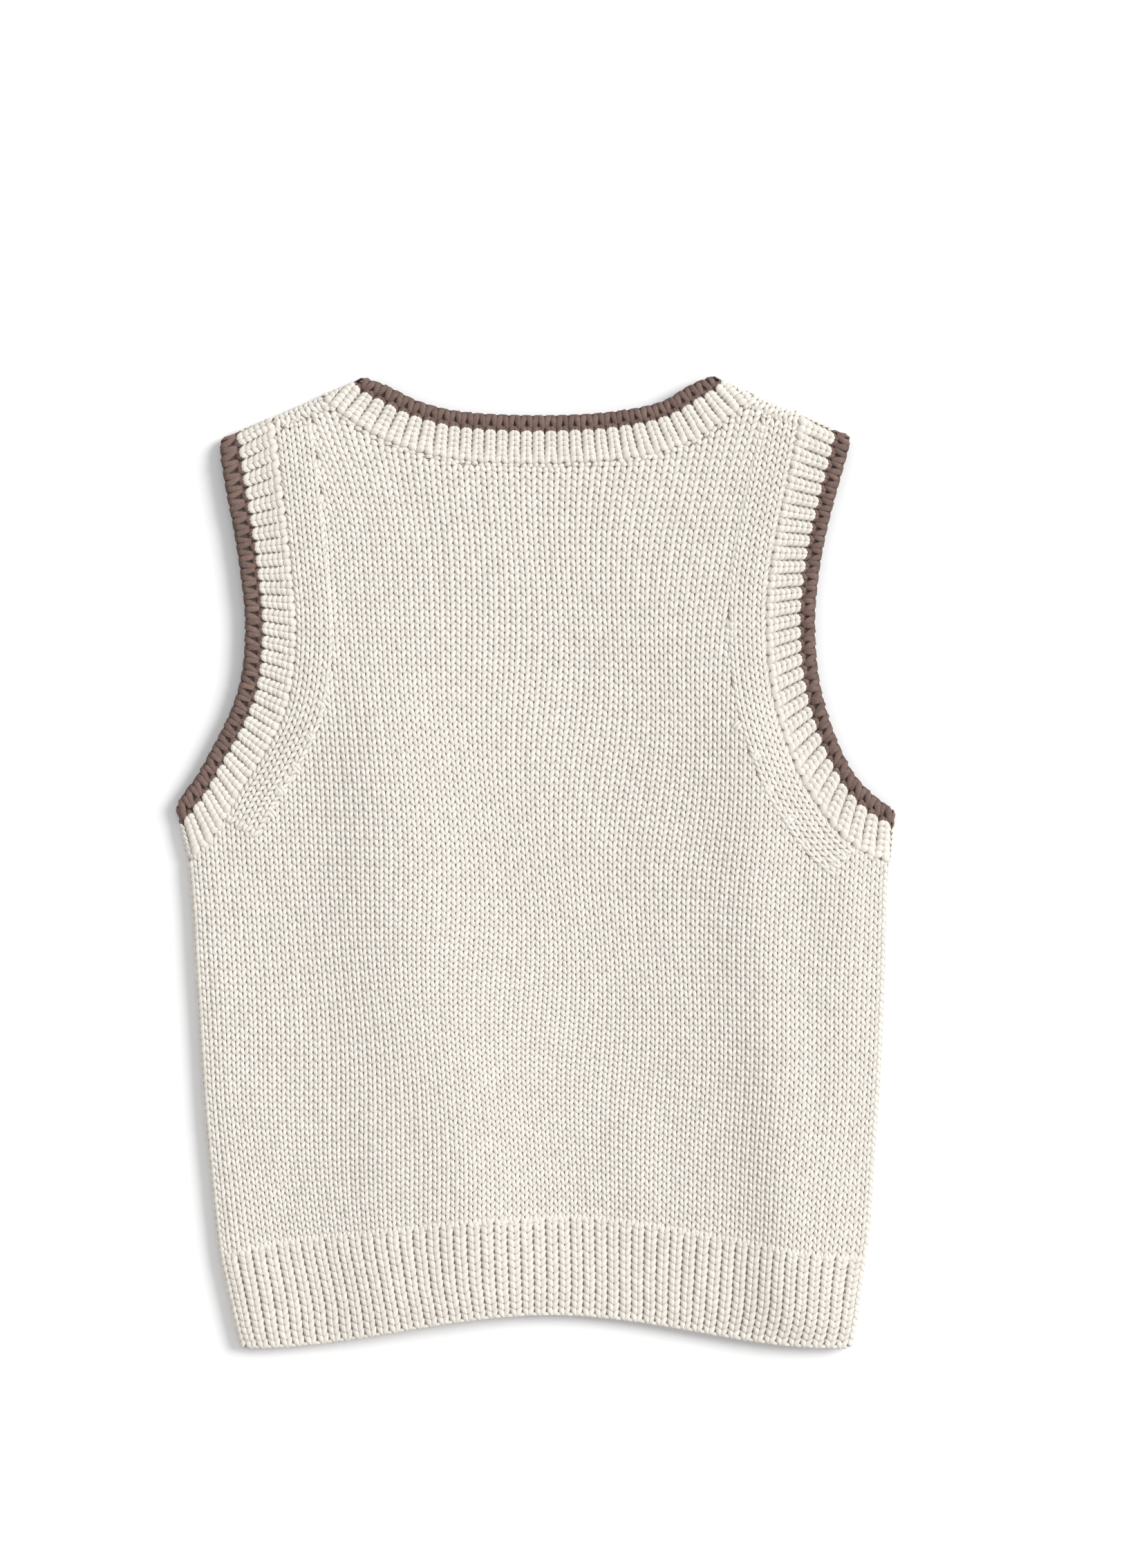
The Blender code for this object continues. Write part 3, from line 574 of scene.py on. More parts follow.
@dataclass
class Weave:
    """Where the wales and courses of a panel run in plan. The middle wales open towards the neck."""

    plan: GarmentPlan
    inset: float
    wales: int = 76
    course: float = 3.3
    # height over the underarms, and how far each side's wales are spread away from the middle there, in mm
    spread: Table = ((0, 0), (47, 3.7), (124, 10.6), (150, 12.9), (208, 22))
    spread_wales: float = 14.0  # from the middle, within which the spread grows
    shoulder_spread: Table = ((160, 0), (180, 3), (208, 12))  # more of it, beside the neck
    beside_neck: tuple[float, float] = (8.0, 14.0)  # wales from the middle where that starts, and its reach
    # share of the width, and how high the hem is there, in mm
    hem_top: Table = (
        (0, 43.8), (0.1, 48.2), (0.2, 48.6), (0.28, 48.2), (0.38, 47), (0.47, 44.8), (0.6, 45.6), (0.71, 46),
        (0.83, 45.4), (0.93, 43), (1, 42.2),
    )  # fmt: skip
    hem_settles: float = 45.0  # how soon the courses above it are level again
    arch_settles: float = 170.0  # height over the hem within which its arch fades out
    wander: float = 0.45  # how far the rows wander, in mm
    wander_from: tuple[float, float] = (4.0, 20.0)  # in full from these wales off a side, and mm off the hem
    waves: int = 5
    wave_pitch: tuple[float, float] = (0.015, 0.06)
    seed: int = 4

    def __post_init__(self) -> None:
        """Finds the side lines and the random waves by which the rows wander."""
        self.lines = [self.plan.moved_in(self.plan.side[side], side, self.inset) for side in Side]
        self.low = float(self.plan.side[Side.LEFT][0][1] + self.plan.seam_gap)
        self.high = float(self.lines[0][-1][1])
        rng = np.random.default_rng(self.seed)
        self.drawn = [
            (rng.uniform(*self.wave_pitch, 2), rng.uniform(0.0, 2 * math.pi, 2), rng.normal(size=2))
            for _ in range(self.waves)
        ]

    def across(self, u: Array, y: Array) -> Array:
        """Where the wales stand in x.

        Args:
            u: Share of the wales, from the left side to the right.
            y: Height in plan, before the hem's arch is added.

        Returns:
            Their x, as if no armholes were cut out.
        """
        held = np.clip(y, self.low, self.high)
        left, right = (np.interp(held, line[:, 1], line[:, 0]) for line in self.lines)
        tables = (self.spread, self.shoulder_spread)
        spread, beside = (np.interp(y - self.high, *np.array(table).T) for table in tables)
        from_middle = (u - 0.5) * self.wales
        start, reach = self.beside_neck
        beside = beside * np.sign(from_middle) * smooth((np.abs(from_middle) - start) / reach)
        return left * (1 - u) + right * u + spread * np.tanh(from_middle / self.spread_wales) + beside

    def above_edge(self, u: Array, share: Array) -> Array:
        """Height up the wales of a share of the hem's height, or of the body's rows above it.

        Args:
            u: Share of the wales, from the left side to the right.
            share: From 0 at the hem's edge to 1 at its top, and on by the same measure over 1.

        Returns:
            The y that place() takes.
        """
        own = np.interp(u, *np.array(self.hem_top).T)
        plain = self.plan.hem_height
        past = np.maximum(share - 1.0, 0.0) * plain
        settled = (plain - own) * (1 - np.exp(-past / self.hem_settles))
        return self.low + np.minimum(share, 1.0) * own + past + settled

    def place(self, u: Array, y: Array) -> Array:
        """Points in plan.

        Args:
            u: Share of the wales, from the left side to the right.
            y: Height above the hem's corners, in mm, measured up the wales, from the centre of the box.

        Returns:
            The points, with x and y on the last axis.
        """
        x = self.across(u, y)
        fade = 1.0 - smooth((y - self.low - self.plan.hem_height) / self.arch_settles)
        shift = np.zeros((2, *np.shape(x)))
        for pitch, phase, size in self.drawn:
            wave = np.sin(x * pitch[0] + y * pitch[1] + phase[0])
            shift = shift + size.reshape(2, *[1] * np.ndim(x)) * wave
        off_side, off_hem = self.wander_from
        shift = shift * self.wander * smooth(np.minimum(u, 1 - u) * self.wales / off_side)
        shift = shift * smooth((y - self.low) / off_hem)
        return np.stack([x + shift[0], y + self.plan.hem_arch(x) * fade + shift[1]], axis=-1)


# ---------------------------------------------------------------- surfaces that the yarn is laid on

RIB_PITCH = 6.5  # of the bands, in mm


@dataclass
class Surface(ABC):
    """A face of the cloth. a runs across the wales, b along them, and h out of the face, h in mm."""

    lie: Lie

    @abstractmethod
    def flat(self, a: Array, b: Array) -> Array:
        """Where points lie on the flat cloth in mm: in plan, but for cloth that is turned under."""

    def point(self, a: Array, b: Array, h: Array) -> Array:
        """Places points of the cloth, with x, y and z in mm on the last axis."""
        return self.lie.on_top(self.flat(a, b), h)


@dataclass
class BackFace(Surface):
    """The face of the back or of its hem. a counts wales or ribs from the left, and b counts courses up."""

    weave: Weave
    across: int  # how many wales or ribs there are
    start: float  # where b is 0: at the hem's edge, or at 1 on its top
    course: float  # height of a course, by the measure by which the hem has
    height: float  # this height

    def flat(self, a: Array, b: Array) -> Array:
        """Where points lie in plan."""
        u = a / self.across
        return self.weave.place(u, self.weave.above_edge(u, self.start + b * self.course / self.height))


@dataclass
class BackPlan(Surface):
    """The face of the back, where a and b are mm in plan from the centre of the garment's box."""

    def flat(self, a: Array, b: Array) -> Array:
        """Where points lie in plan."""
        return np.stack([a, b], axis=-1)


@dataclass
class FrontFace(Surface):
    """The face of the front, underneath. a counts wales or ribs, and b is mm up from the hem's edge."""

    weave: Weave
    across: int

    def flat(self, a: Array, b: Array) -> Array:
        """Where points lie in plan."""
        return self.weave.place(a / self.across, self.weave.low + b)

    def point(self, a: Array, b: Array, h: Array) -> Array:
        """Places points of the cloth: out of the face is down."""
        return np.concatenate([self.flat(a, b), -h[..., None]], axis=-1)


@dataclass
class Guide:
    """A line in plan that stitches run along, with its normals into the garment."""

    line: Curve
    side: Side

    def __post_init__(self) -> None:
        """Measures it."""
        self.normals = self.side.sign * left_normals(self.line)
        self.lengths = lengths_along(self.line)

    def at(self, b: Array) -> tuple[Array, Array]:
        """Its points and normals, b mm along it."""
        return between(b, self.lengths, self.line), between(b, self.lengths, self.normals)


@dataclass
class ArmholeEdge(Surface):
    """The wales along an armhole seam. a counts wales in from the seam, and b is mm up along it."""

    side: Side
    wale: float = 4.15
    lift: float = 0.0

    def __post_init__(self) -> None:
        """Finds the seam's line."""
        plan = self.lie.plan
        self.start = {Side.LEFT: 27.0, Side.RIGHT: 20.0}[self.side]  # along the seam, where these wales begin
        self.guide = Guide(plan.moved_in(plan.arm_seam[self.side], self.side, plan.seam_gap), self.side)
        self.end = self.guide.lengths[-1]

    def flat(self, a: Array, b: Array) -> Array:
        """Where points lie in plan."""
        on, normal = self.guide.at(b)
        return on + (a * self.wale)[..., None] * normal

    def point(self, a: Array, b: Array, h: Array) -> Array:
        """Places points of the cloth."""
        return super().point(a, b, h + self.lift)


@dataclass
class SideWrap(Surface):
    """The front's cloth round a side fold. a is mm round it from underneath, and b mm up the side."""

    side: Side

    def __post_init__(self) -> None:
        """Finds where the turn begins."""
        plan = self.lie.plan
        self.guide = Guide(plan.moved_in(plan.side[self.side], self.side, plan.fold_radius), self.side)

    def flat(self, a: Array, b: Array) -> Array:
        """Where points lie on the flat cloth, outside the side."""
        on = self.guide.at(b)[0]
        return np.stack([on[..., 0] + self.side.sign * a, on[..., 1]], axis=-1)

    def point(self, a: Array, b: Array, h: Array) -> Array:
        """Places points of the cloth, turned as far round the side as a says.

        Args:
            a: Where they are across the surface.
            b: Where they are along it.
            h: Distance out of the face, in mm.

        Returns:
            The points, with x, y and z in mm on the last axis.
        """
        on, normal = self.guide.at(b)
        radius = self.lie.plan.fold_radius
        past = np.maximum(a - math.pi * radius, 0.0)[..., None]
        turn = math.pi - np.minimum(a / radius, math.pi)
        return self.lie.turned(on + past * normal, turn, normal, h)


@dataclass
class ShoulderWrap(Surface):
    """The front's cloth over a shoulder fold. a is mm across the shoulder, b mm over it from underneath."""

    side: Side

    def __post_init__(self) -> None:
        """Finds the line at which the turn begins and the way across it."""
        plan = self.lie.plan
        fold = plan.shoulder_fold[self.side]
        arm = plan.moved_in(plan.arm_seam[self.side], self.side, plan.seam_gap)[::-1]
        neck = plan.below_neck(plan.neck_seam)
        curves = (arm, neck) if self.side is Side.LEFT else (neck[::-1], arm)
        depths = (plan.fold_radius, plan.fold_radius + plan.shoulder_lip)
        self.corners = [[cut_at_depth(curve, fold, depth)[0] for curve in curves] for depth in depths]
        self.normal = plan.inward(fold)
        self.width = float(np.linalg.norm(self.corners[0][1] - self.corners[0][0]))

    def flat(self, a: Array, b: Array) -> Array:
        """Where points lie on the flat cloth, beyond the shoulder."""
        return self.corners[0][0] + np.stack([a, b], axis=-1)

    def point(self, a: Array, b: Array, h: Array) -> Array:
        """Places points of the cloth, turned as far over the shoulder as b says.

        Args:
            a: Where they are across the surface.
            b: Where they are along it.
            h: Distance out of the face, in mm.

        Returns:
            The points, with x, y and z in mm on the last axis.
        """
        plan = self.lie.plan
        turn = math.pi - np.minimum(b, math.pi * plan.fold_radius) / plan.fold_radius
        past = (np.maximum(b - math.pi * plan.fold_radius, 0.0) / plan.shoulder_lip)[..., None]
        share = (a / self.width)[..., None]
        at_fold, at_seam = (start * (1 - share) + stop * share for start, stop in self.corners)
        on = at_fold * (1 - past) + at_seam * past
        return self.lie.turned(on, turn, np.broadcast_to(self.normal, on.shape), h)


@dataclass
class BandRing(Surface):
    """A band all round an opening. a counts ribs round it from its first fold, and b is mm from its seam.

    The ring runs over the back, round the last fold, underneath and round the first fold.
    """

    back: tuple[Curve, Curve]  # seam and open edge on the back
    under: tuple[Curve, Curve]
    folds: tuple[Curve, Curve]
    ribs: int
    hidden_ribs: int
    width: float
    lean: Table  # share of the back's ribs, and how many ribs the seam end of a rib is ahead of its open end
    rounding: float = 0.06  # how much narrower the band is in a fold, which rounds its corner
    rounded_ribs: float = 1.5  # from the fold, within which it narrows
    samples: int = 200

    def __post_init__(self) -> None:
        """Opens the ring out flat across each fold."""
        self.total = self.ribs + self.hidden_ribs + 2
        back, under = (
            [cut_both(curve, *self.folds, self.lie.plan.fold_radius) for curve in pair]
            for pair in (self.back, self.under)
        )
        first, last = self.lines = [FoldLine(self.lie, fold) for fold in self.folds]
        share = np.linspace(0.0, 1.0, self.samples)
        top = self.ribs * share
        before = -1.0 - self.hidden_ribs * share
        after = self.ribs + 1.0 + self.hidden_ribs * (1 - share)
        tops = [evenly(curve, share) for curve in back]
        hidden = [evenly(curve, share) for curve in under]
        self.opened = [
            (
                np.r_[before[::-1], top],
                [np.vstack([first.unfolded(below)[::-1], above]) for above, below in zip(tops, hidden)],
            ),
            (
                np.r_[top, after[::-1]],
                [np.vstack([above, last.unfolded(below)[::-1]]) for above, below in zip(tops, hidden)],
            ),
        ]

    def placed(self, end: int, a: Array, b: Array) -> Array:
        """Points of the ring, opened out flat across one of its folds.

        Args:
            end: 0 for the first fold and 1 for the last.
            a: Ribs round the ring. Below 0 is beyond the first fold.
            b: Distance from the seam, in mm.

        Returns:
            The points in the plane of the back.
        """
        where, curves = self.opened[end]
        share, ahead = np.array(self.lean).T
        half = 1 + self.hidden_ribs / 2
        ahead = np.interp(a, np.r_[-half, share * self.ribs, self.ribs + half], np.r_[0.0, ahead, 0.0])
        seam, edge = (between(at, where, curve) for at, curve in zip((a + ahead, a), curves))
        share = (b / self.width)[..., None]
        return seam * (1 - share) + edge * share

    def point(self, a: Array, b: Array, h: Array) -> Array:
        """Places points of the cloth, turned under where they lie beyond a fold.

        Args:
            a: Where they are across the surface.
            b: Where they are along it.
            h: Distance out of the face, in mm.

        Returns:
            The points, with x, y and z in mm on the last axis.
        """
        a = np.mod(a, self.total)
        from_fold = np.abs([a + 0.5, a - self.ribs - 0.5, a - self.total + 0.5]).min(axis=0)
        b = b * (1 - self.rounding * np.maximum(1 - from_fold / self.rounded_ribs, 0.0) ** 2)
        late = a > self.ribs + 1 + self.hidden_ribs / 2
        first = late | (a < self.ribs / 2)
        opened = [self.placed(0, np.where(late, a - self.total, a), b), self.placed(1, a, b)]
        return np.where(first[..., None], *(line.folded(plan, h) for line, plan in zip(self.lines, opened)))

    def flat(self, a: Array, b: Array) -> Array:
        """Where points lie on the flat cloth."""
        return np.stack([a * RIB_PITCH, b], axis=-1)


# ---------------------------------------------------------------- yarn


@dataclass(frozen=True)
class Leg:
    """The run of one leg of a stitch, from where it comes out of the cloth to where it goes back in.

    aside and along are in the surface's own steps, times the sizes given when it is laid; height and radius
    are in mm. The first and last points are the tips. The radii are those in a wale of this width, in mm.
    """

    wale: float
    aside: Run
    along: Run
    height: Run
    radius: Run


STOCKING_LEG = Leg(
    4.2, (0.04, 0.105, 0.25, 0.39, 0.43), (-0.48, -0.1, 0.42, 1.02, 1.62),
    (-1.7, -0.72, -0.8, -1.32, -2.2), (0, 0.8, 1.06, 1.02, 0),
)  # fmt: skip
HIDDEN_LEG = Leg(
    4.2, (0.05, 0.15, 0.33, 0.41), (-0.2, 0.22, 0.9, 1.38), (-2, -1.05, -1.05, -2.1), (0, 0.92, 0.92, 0)
)
RIB_LEG = Leg(
    5.8, (0, 0.055, 0.19, 0.325, 0.36), (-0.34, -0.1, 0.34, 0.98, 1.7),
    (-1.3, -0.7, -0.68, -1.12, -2), (0, 1, 1.52, 1.29, 0),
)  # fmt: skip
RIB_TOP_LEG = Leg(
    5.8, (0, 0.07, 0.22, 0.38, 0.44), (-0.34, -0.08, 0.42, 0.96, 1.38),
    (-1.5, -0.74, -0.75, -1.2, -2.2), (0, 0.95, 1.34, 1.15, 0),
)  # fmt: skip
HIDDEN_RIB_LEG = Leg(
    5.8, (0.03, 0.11, 0.31, 0.36), (-0.18, 0.22, 0.85, 1.25), (-1.9, -1.2, -1.25, -2.1), (0, 1.15, 1.15, 0)
)
BAND_LEG = Leg(
    6.6, (0, 0.055, 0.195, 0.335, 0.37), (-0.36, -0.1, 0.34, 0.94, 1.6),
    (-1.1, -0.68, -0.6, -1, -1.75), (0, 1.1, 1.62, 1.34, 0),
)  # fmt: skip
HIDDEN_BAND_LEG = Leg(
    6.8, (0.02, 0.09, 0.27, 0.32), (-0.1, 0.22, 0.92, 1.28), (-1.9, -1.15, -1.2, -2.1), (0, 1.1, 1.05, 0)
)


@dataclass(frozen=True)
class Bow:
    """A single strand that bows out of the cloth: steeply at its tips and level between them."""

    run: Run  # its points across the surface, in the surface's own steps
    lift: float  # how steeply it comes out
    height: tuple[float, float]  # of its tips, and how much more between them
    radius: tuple[float, float]  # next to its tips, and how much more between them
    jitter: tuple[float, float, float]  # how unlike the strands are across, along and in height
    rise: float = 0.0  # how far its second tip is up from its first
    arch: float = 0.0  # how far its middle is up from both


CAST_ON = Bow((0, 0.08, 0.3, 0.55, 0.77, 0.85), 4, (-1.3, 0.45), (0.62, 0.36), (0, 0.015, 0), rise=0.06)
SHOULDER_JOIN = Bow((0, 0.288, 1.2, 2.112, 2.4), 4.4, (-1.9, 0.85), (0.45, 0.5), (0.2, 0.15, 0), rise=3.4)
PURL = Bow((0, 0.06, 0.17, 0.28, 0.34), 4, (-1.9, 0.75), (0.7, 0), (0.012, 0.15, 0), arch=0.5)
HIDDEN_PURL = Bow((0, 0.09, 0.25, 0.34), 4, (-1.9, 0.75), (0.7, 0), (0.012, 0.15, 0), arch=0.5)


def chain_bow(height: float, rise: float) -> Bow:
    """A strand of the chain between a band and a panel, from its height out of the face and its rise."""
    run = (0, 0.07, 0.22, 0.42, 0.57, 0.64)
    return Bow(run, 4.4, (height - 1.15, 1.15), (0.55, 0.55), (0.03, 0.25, 0.08), rise)


@dataclass(frozen=True)
class TippingRun:
    """A strand of a tipping, from tip to tip."""

    at_rim: int  # how many of its points are measured from the rim, the others from the end of the cream
    aside: Run  # from the groove, in ribs
    along: Run
    height: Run
    radius: Run


TIPPING_ROUNDS = (
    TippingRun(
        0, (0.02, 0.1, 0.25, 0.4, 0.47), (-1.9, -0.9, 0.8, 2.4, 3.2),
        (-2.3, -1.6, -0.95, -1, -1.9), (0, 1.05, 1.5, 1.25, 0),
    ),
    TippingRun(
        3, (0.03, 0.1, 0.25, 0.4, 0.46), (1.3, 2.2, -2.4, -1.1, -0.5),
        (-1.9, -0.85, -0.68, -1.3, -2.3), (0, 1.15, 1.6, 1.4, 0),
    ),
)  # fmt: skip
TIPPING_RIM = TippingRun(
    6, (-0.06, 0.03, 0.28, 0.72, 0.97, 1.06), (-2, -1.6, -1.35, -1.35, -1.6, -2),
    (-2.3, -1.65, -1.4, -1.4, -1.65, -2.3), (0, 0.95, 1.12, 1.12, 0.95, 0),
)  # fmt: skip
# Section of a strand, as it is pressed into the cloth: across it and out of the face, in its radii
TOP_SECTION = ((1, 0), (0.68, 0.34), (0, 0.44), (-0.68, 0.34), (-1, 0))
HIDDEN_SECTION = ((1, 0), (0, 0.56), (-1, 0))
SHOWN_WIDTH = 0.66  # of the texture map, for faces that look out of the cloth
HIDDEN_WIDTH = 0.33  # and for the others


def link(name: str, data: bpy.types.ID) -> bpy.types.Object:
    """A new object in the scene."""
    obj = bpy.data.objects.new(name, data)
    bpy.context.collection.objects.link(obj)
    return obj


def make_mesh(
    name: str,
    corners: Array,
    starts: Array,
    shows: Array,
    facts: dict[str, Array],
    material: bpy.types.Material,
) -> bpy.types.Object:
    """An object from arrays.

    Args:
        name: Name of the object.
        corners: Number of the point at each corner of each face.
        starts: First corner of each face.
        shows: True for each corner of a face that looks out of the cloth.
        facts: Of each point, its place, its place on the flat cloth, and the numbers that the finish reads.
        material: Its finish.

    Returns:
        The new object.
    """
    points, flat = facts.pop("points"), facts.pop("flat")
    mesh = bpy.data.meshes.new(name)
    mesh.vertices.add(len(points))
    mesh.vertices.foreach_set("co", (points * MM).astype(np.float32).ravel())
    mesh.loops.add(len(corners))
    mesh.loops.foreach_set("vertex_index", corners.astype(np.int32))
    mesh.polygons.add(len(starts))
    mesh.polygons.foreach_set("loop_start", starts.astype(np.int32))
    mesh.update(calc_edges=True)
    mesh.validate()
    for key, values in facts.items():
        kind, value = ("FLOAT", "value") if values.shape[1] == 1 else ("FLOAT2", "vector")
        mesh.attributes.new(key, kind, "POINT").data.foreach_set(value, values.astype(np.float32).ravel())
    place = (flat[corners] - flat.min(axis=0)) / np.ptp(flat, axis=0)
    hidden = 1 - HIDDEN_WIDTH + HIDDEN_WIDTH * place[:, 0]
    place[:, 0] = np.where(shows, SHOWN_WIDTH * place[:, 0], hidden)
    mesh.uv_layers.new(name="OFBake").data.foreach_set("uv", place.astype(np.float32).ravel())
    mesh.materials.append(material)
    mesh.shade_smooth()
    return link(name, mesh)


def with_tips(tips: Array, rings: Array) -> Array:
    """The values of whole strands: of their first tips, their rings and their last tips."""
    rings = rings.reshape(len(tips), -1, tips.shape[2])
    return np.concatenate([tips[:, :1], rings, tips[:, -1:]], axis=1)


@dataclass
class YarnMesh:
    """Strands of yarn gathered into one mesh."""

    name: str
    section: Table = TOP_SECTION
    rim_shade: float = 0.3  # how much painted shade, in the shade colour, a strand has at its edges
    shade: float = 0.04  # and how much painted shade all over, more in ribs, where the stitches stand closer
    shade_from: float = 0.9  # how far into the cloth more painted shade sets in
    shade_reach: float = 1.2  # and how much deeper it is full
    probe: float = 0.5  # height at which the way out of the face is felt for
    blocks: list[dict[str, Array]] = field(default_factory=list)

    def lay(self, surface: Surface, a: Array, b: Array, h: Array, radius: Array, tone: Array) -> None:
        """Lays strands on a surface.

        Args:
            surface: What they are laid on.
            a: Points of each strand across the surface, one strand a row.
            b: The same, along it.
            h: Height of each point out of the face.
            radius: Radius at each point. The first and last are tips and have none.
            tone: Random number of each strand, from 0 to 1.
        """
        centre = surface.point(a, b, h)
        along = unit(np.gradient(centre, axis=1))
        aside = unit(np.cross(along, unit(surface.point(a, b, h + self.probe) - centre)))
        up = np.cross(aside, along)
        across, out = np.array(self.section, float).T
        turn = across[:, None] * aside[:, 1:-1, None, :] + out[:, None] * up[:, 1:-1, None, :]
        flat = surface.flat(a, b)
        flow = unit(np.gradient(flat, axis=1))
        cross = np.stack([flow[..., 1], -flow[..., 0]], axis=-1)[:, 1:-1, None, :]
        spread = (radius[:, 1:-1, None] * across)[..., None] * cross
        lengths = np.cumsum(np.linalg.norm(np.diff(centre, axis=1, prepend=centre[:, :1]), axis=2), axis=1)
        round_it = np.tile(np.arccos(across), (len(centre), lengths.shape[1] - 2, 1))
        along_it = np.repeat(lengths[:, 1:-1, None], len(across), axis=2)
        ends = np.stack([np.full_like(lengths, math.pi / 2), lengths], axis=-1)
        # painted shade: how much of the shade colour each point has, the given share all over and more the
        # further it lies into the cloth
        painted_shade = np.clip(self.shade - (h + self.shade_from) / self.shade_reach, self.shade, 1.0)[..., None]
        # painted shade along both rims of each strand
        rim = self.rim_shade * (np.abs(across) == 1.0)
        points = with_tips(centre, centre[:, 1:-1, None, :] + radius[:, 1:-1, None, None] * turn)
        self.blocks.append(
            {
                "points": points,
                "flat": with_tips(flat, flat[:, 1:-1, None, :] + spread),
                "strand": with_tips(ends, np.stack([round_it, along_it], axis=-1)),
                "painted_shade": with_tips(painted_shade, np.clip(painted_shade[:, 1:-1] + rim, 0.0, 1.0)),
                "tone": np.repeat(tone[:, None], points.shape[1], axis=1)[..., None],
            }
        )

    def pattern(self, rings: int) -> list[tuple[int, ...]]:
        """Faces of one strand as numbers of points, first those along the side at the section's first point.

        Args:
            rings: How many rings it has between its tips.

        Returns:
            The faces.
        """
        count = len(self.section)
        faces: list[tuple[int, ...]] = []
        for side in range(count):
            after = (side + 1) % count
            faces.append((0, 1 + after, 1 + side))
            for here in range(1, 1 + (rings - 1) * count, count):
                faces.append((here + side, here + after, here + count + after, here + count + side))
            here = 1 + (rings - 1) * count
            faces.append((here + side, here + after, here + count))
        return faces

    def build(self, material: bpy.types.Material) -> bpy.types.Object:
        """Makes the mesh.

        Args:
            material: The yarn's finish.

        Returns:
            The new object.
        """
        count = len(self.section)
        corners, starts, shows = [], [], []
        offset = loops = 0
        for block in self.blocks:
            strands, size = block["points"].shape[:2]
            faces = self.pattern((size - 2) // count)
            sizes = np.array([len(face) for face in faces])
            flat = np.concatenate([np.array(face) for face in faces])
            number = np.arange(strands)[:, None]
            corners.append((flat + offset + size * number).ravel())
            starts.append((np.cumsum(sizes) - sizes + loops + len(flat) * number).ravel())
            seen = np.arange(len(faces)) < len(faces) * (count - 1) // count
            shows.append(np.tile(np.repeat(seen, sizes), strands))
            offset += strands * size
            loops += len(flat) * strands
        joined = {
            key: np.concatenate([block[key].reshape(-1, block[key].shape[2]) for block in self.blocks])
            for key in self.blocks[0]
        }
        parts = (np.concatenate(part) for part in (corners, starts, shows))
        return make_mesh(self.name, *parts, joined, material)


@dataclass
class Shell:
    """A closed thin wall of cloth between two matching grids of points."""

    name: str
    outer: Array  # the outer face, (rows, columns, 3)
    inner: Array
    flat: Array  # where the points lie on the flat cloth, (rows, columns, 2)
    closed: bool = False  # whether the last row joins the first
    kept: Array | None = None  # which cells of the grid are cloth; None keeps all
    tone: float = 0.5
    # painted shade: how much of the shade colour the ground has all over, as it lies under the stitches and
    # shows between them
    painted_shade: float = 0.7

    def build(self, material: bpy.types.Material) -> bpy.types.Object:
        """Makes the mesh.

        Args:
            material: Its finish.

        Returns:
            The new object.
        """
        rows, columns = self.outer.shape[:2]
        cells = (rows if self.closed else rows - 1, columns - 1)
        row, column = np.nonzero(np.ones(cells, bool) if self.kept is None else self.kept)
        here, there = row * columns + column, (row + 1) % rows * columns + column
        quads = np.stack([here, here + 1, there + 1, there], axis=1)
        count = rows * columns
        sides = np.stack([quads, np.roll(quads, -1, axis=1)], axis=-1).reshape(-1, 2)
        edges = {(int(a), int(b)) for a, b in sides}
        walls = [(b, a, a + count, b + count) for a, b in edges if (b, a) not in edges]
        faces = np.vstack([quads, quads[:, ::-1] + count, np.array(sorted(walls))])
        points = np.vstack([self.outer.reshape(-1, 3), self.inner.reshape(-1, 3)])
        first, second, third, fourth = (points[faces[:, corner]] for corner in range(4))
        volume = (first * (np.cross(second, third) + np.cross(third, fourth))).sum()
        faces = faces[:, ::-1] if volume < 0 else faces
        used = np.unique(faces)
        number = np.zeros(len(points), int)
        number[used] = np.arange(len(used))
        flat = np.vstack([self.flat.reshape(-1, 2)] * 2)[used]
        same = np.ones((len(used), 1))
        facts = {"points": points[used], "flat": flat, "tone": self.tone * same, "painted_shade": self.painted_shade * same}
        facts["strand"] = flat
        shows = np.repeat(np.arange(len(faces)) < len(quads), 4)
        return make_mesh(self.name, number[faces].ravel(), np.arange(len(faces)) * 4, shows, facts, material)


def grid_of(first: Array, second: Array) -> tuple[Array, Array]:
    """Every pair of two lists, as two flat arrays."""
    pairs = np.meshgrid(first, second, indexing="ij")
    return pairs[0].ravel(), pairs[1].ravel()


def middles(count: int) -> Array:
    """The middle of each of so many wales or ribs."""
    return np.arange(count) + 0.5


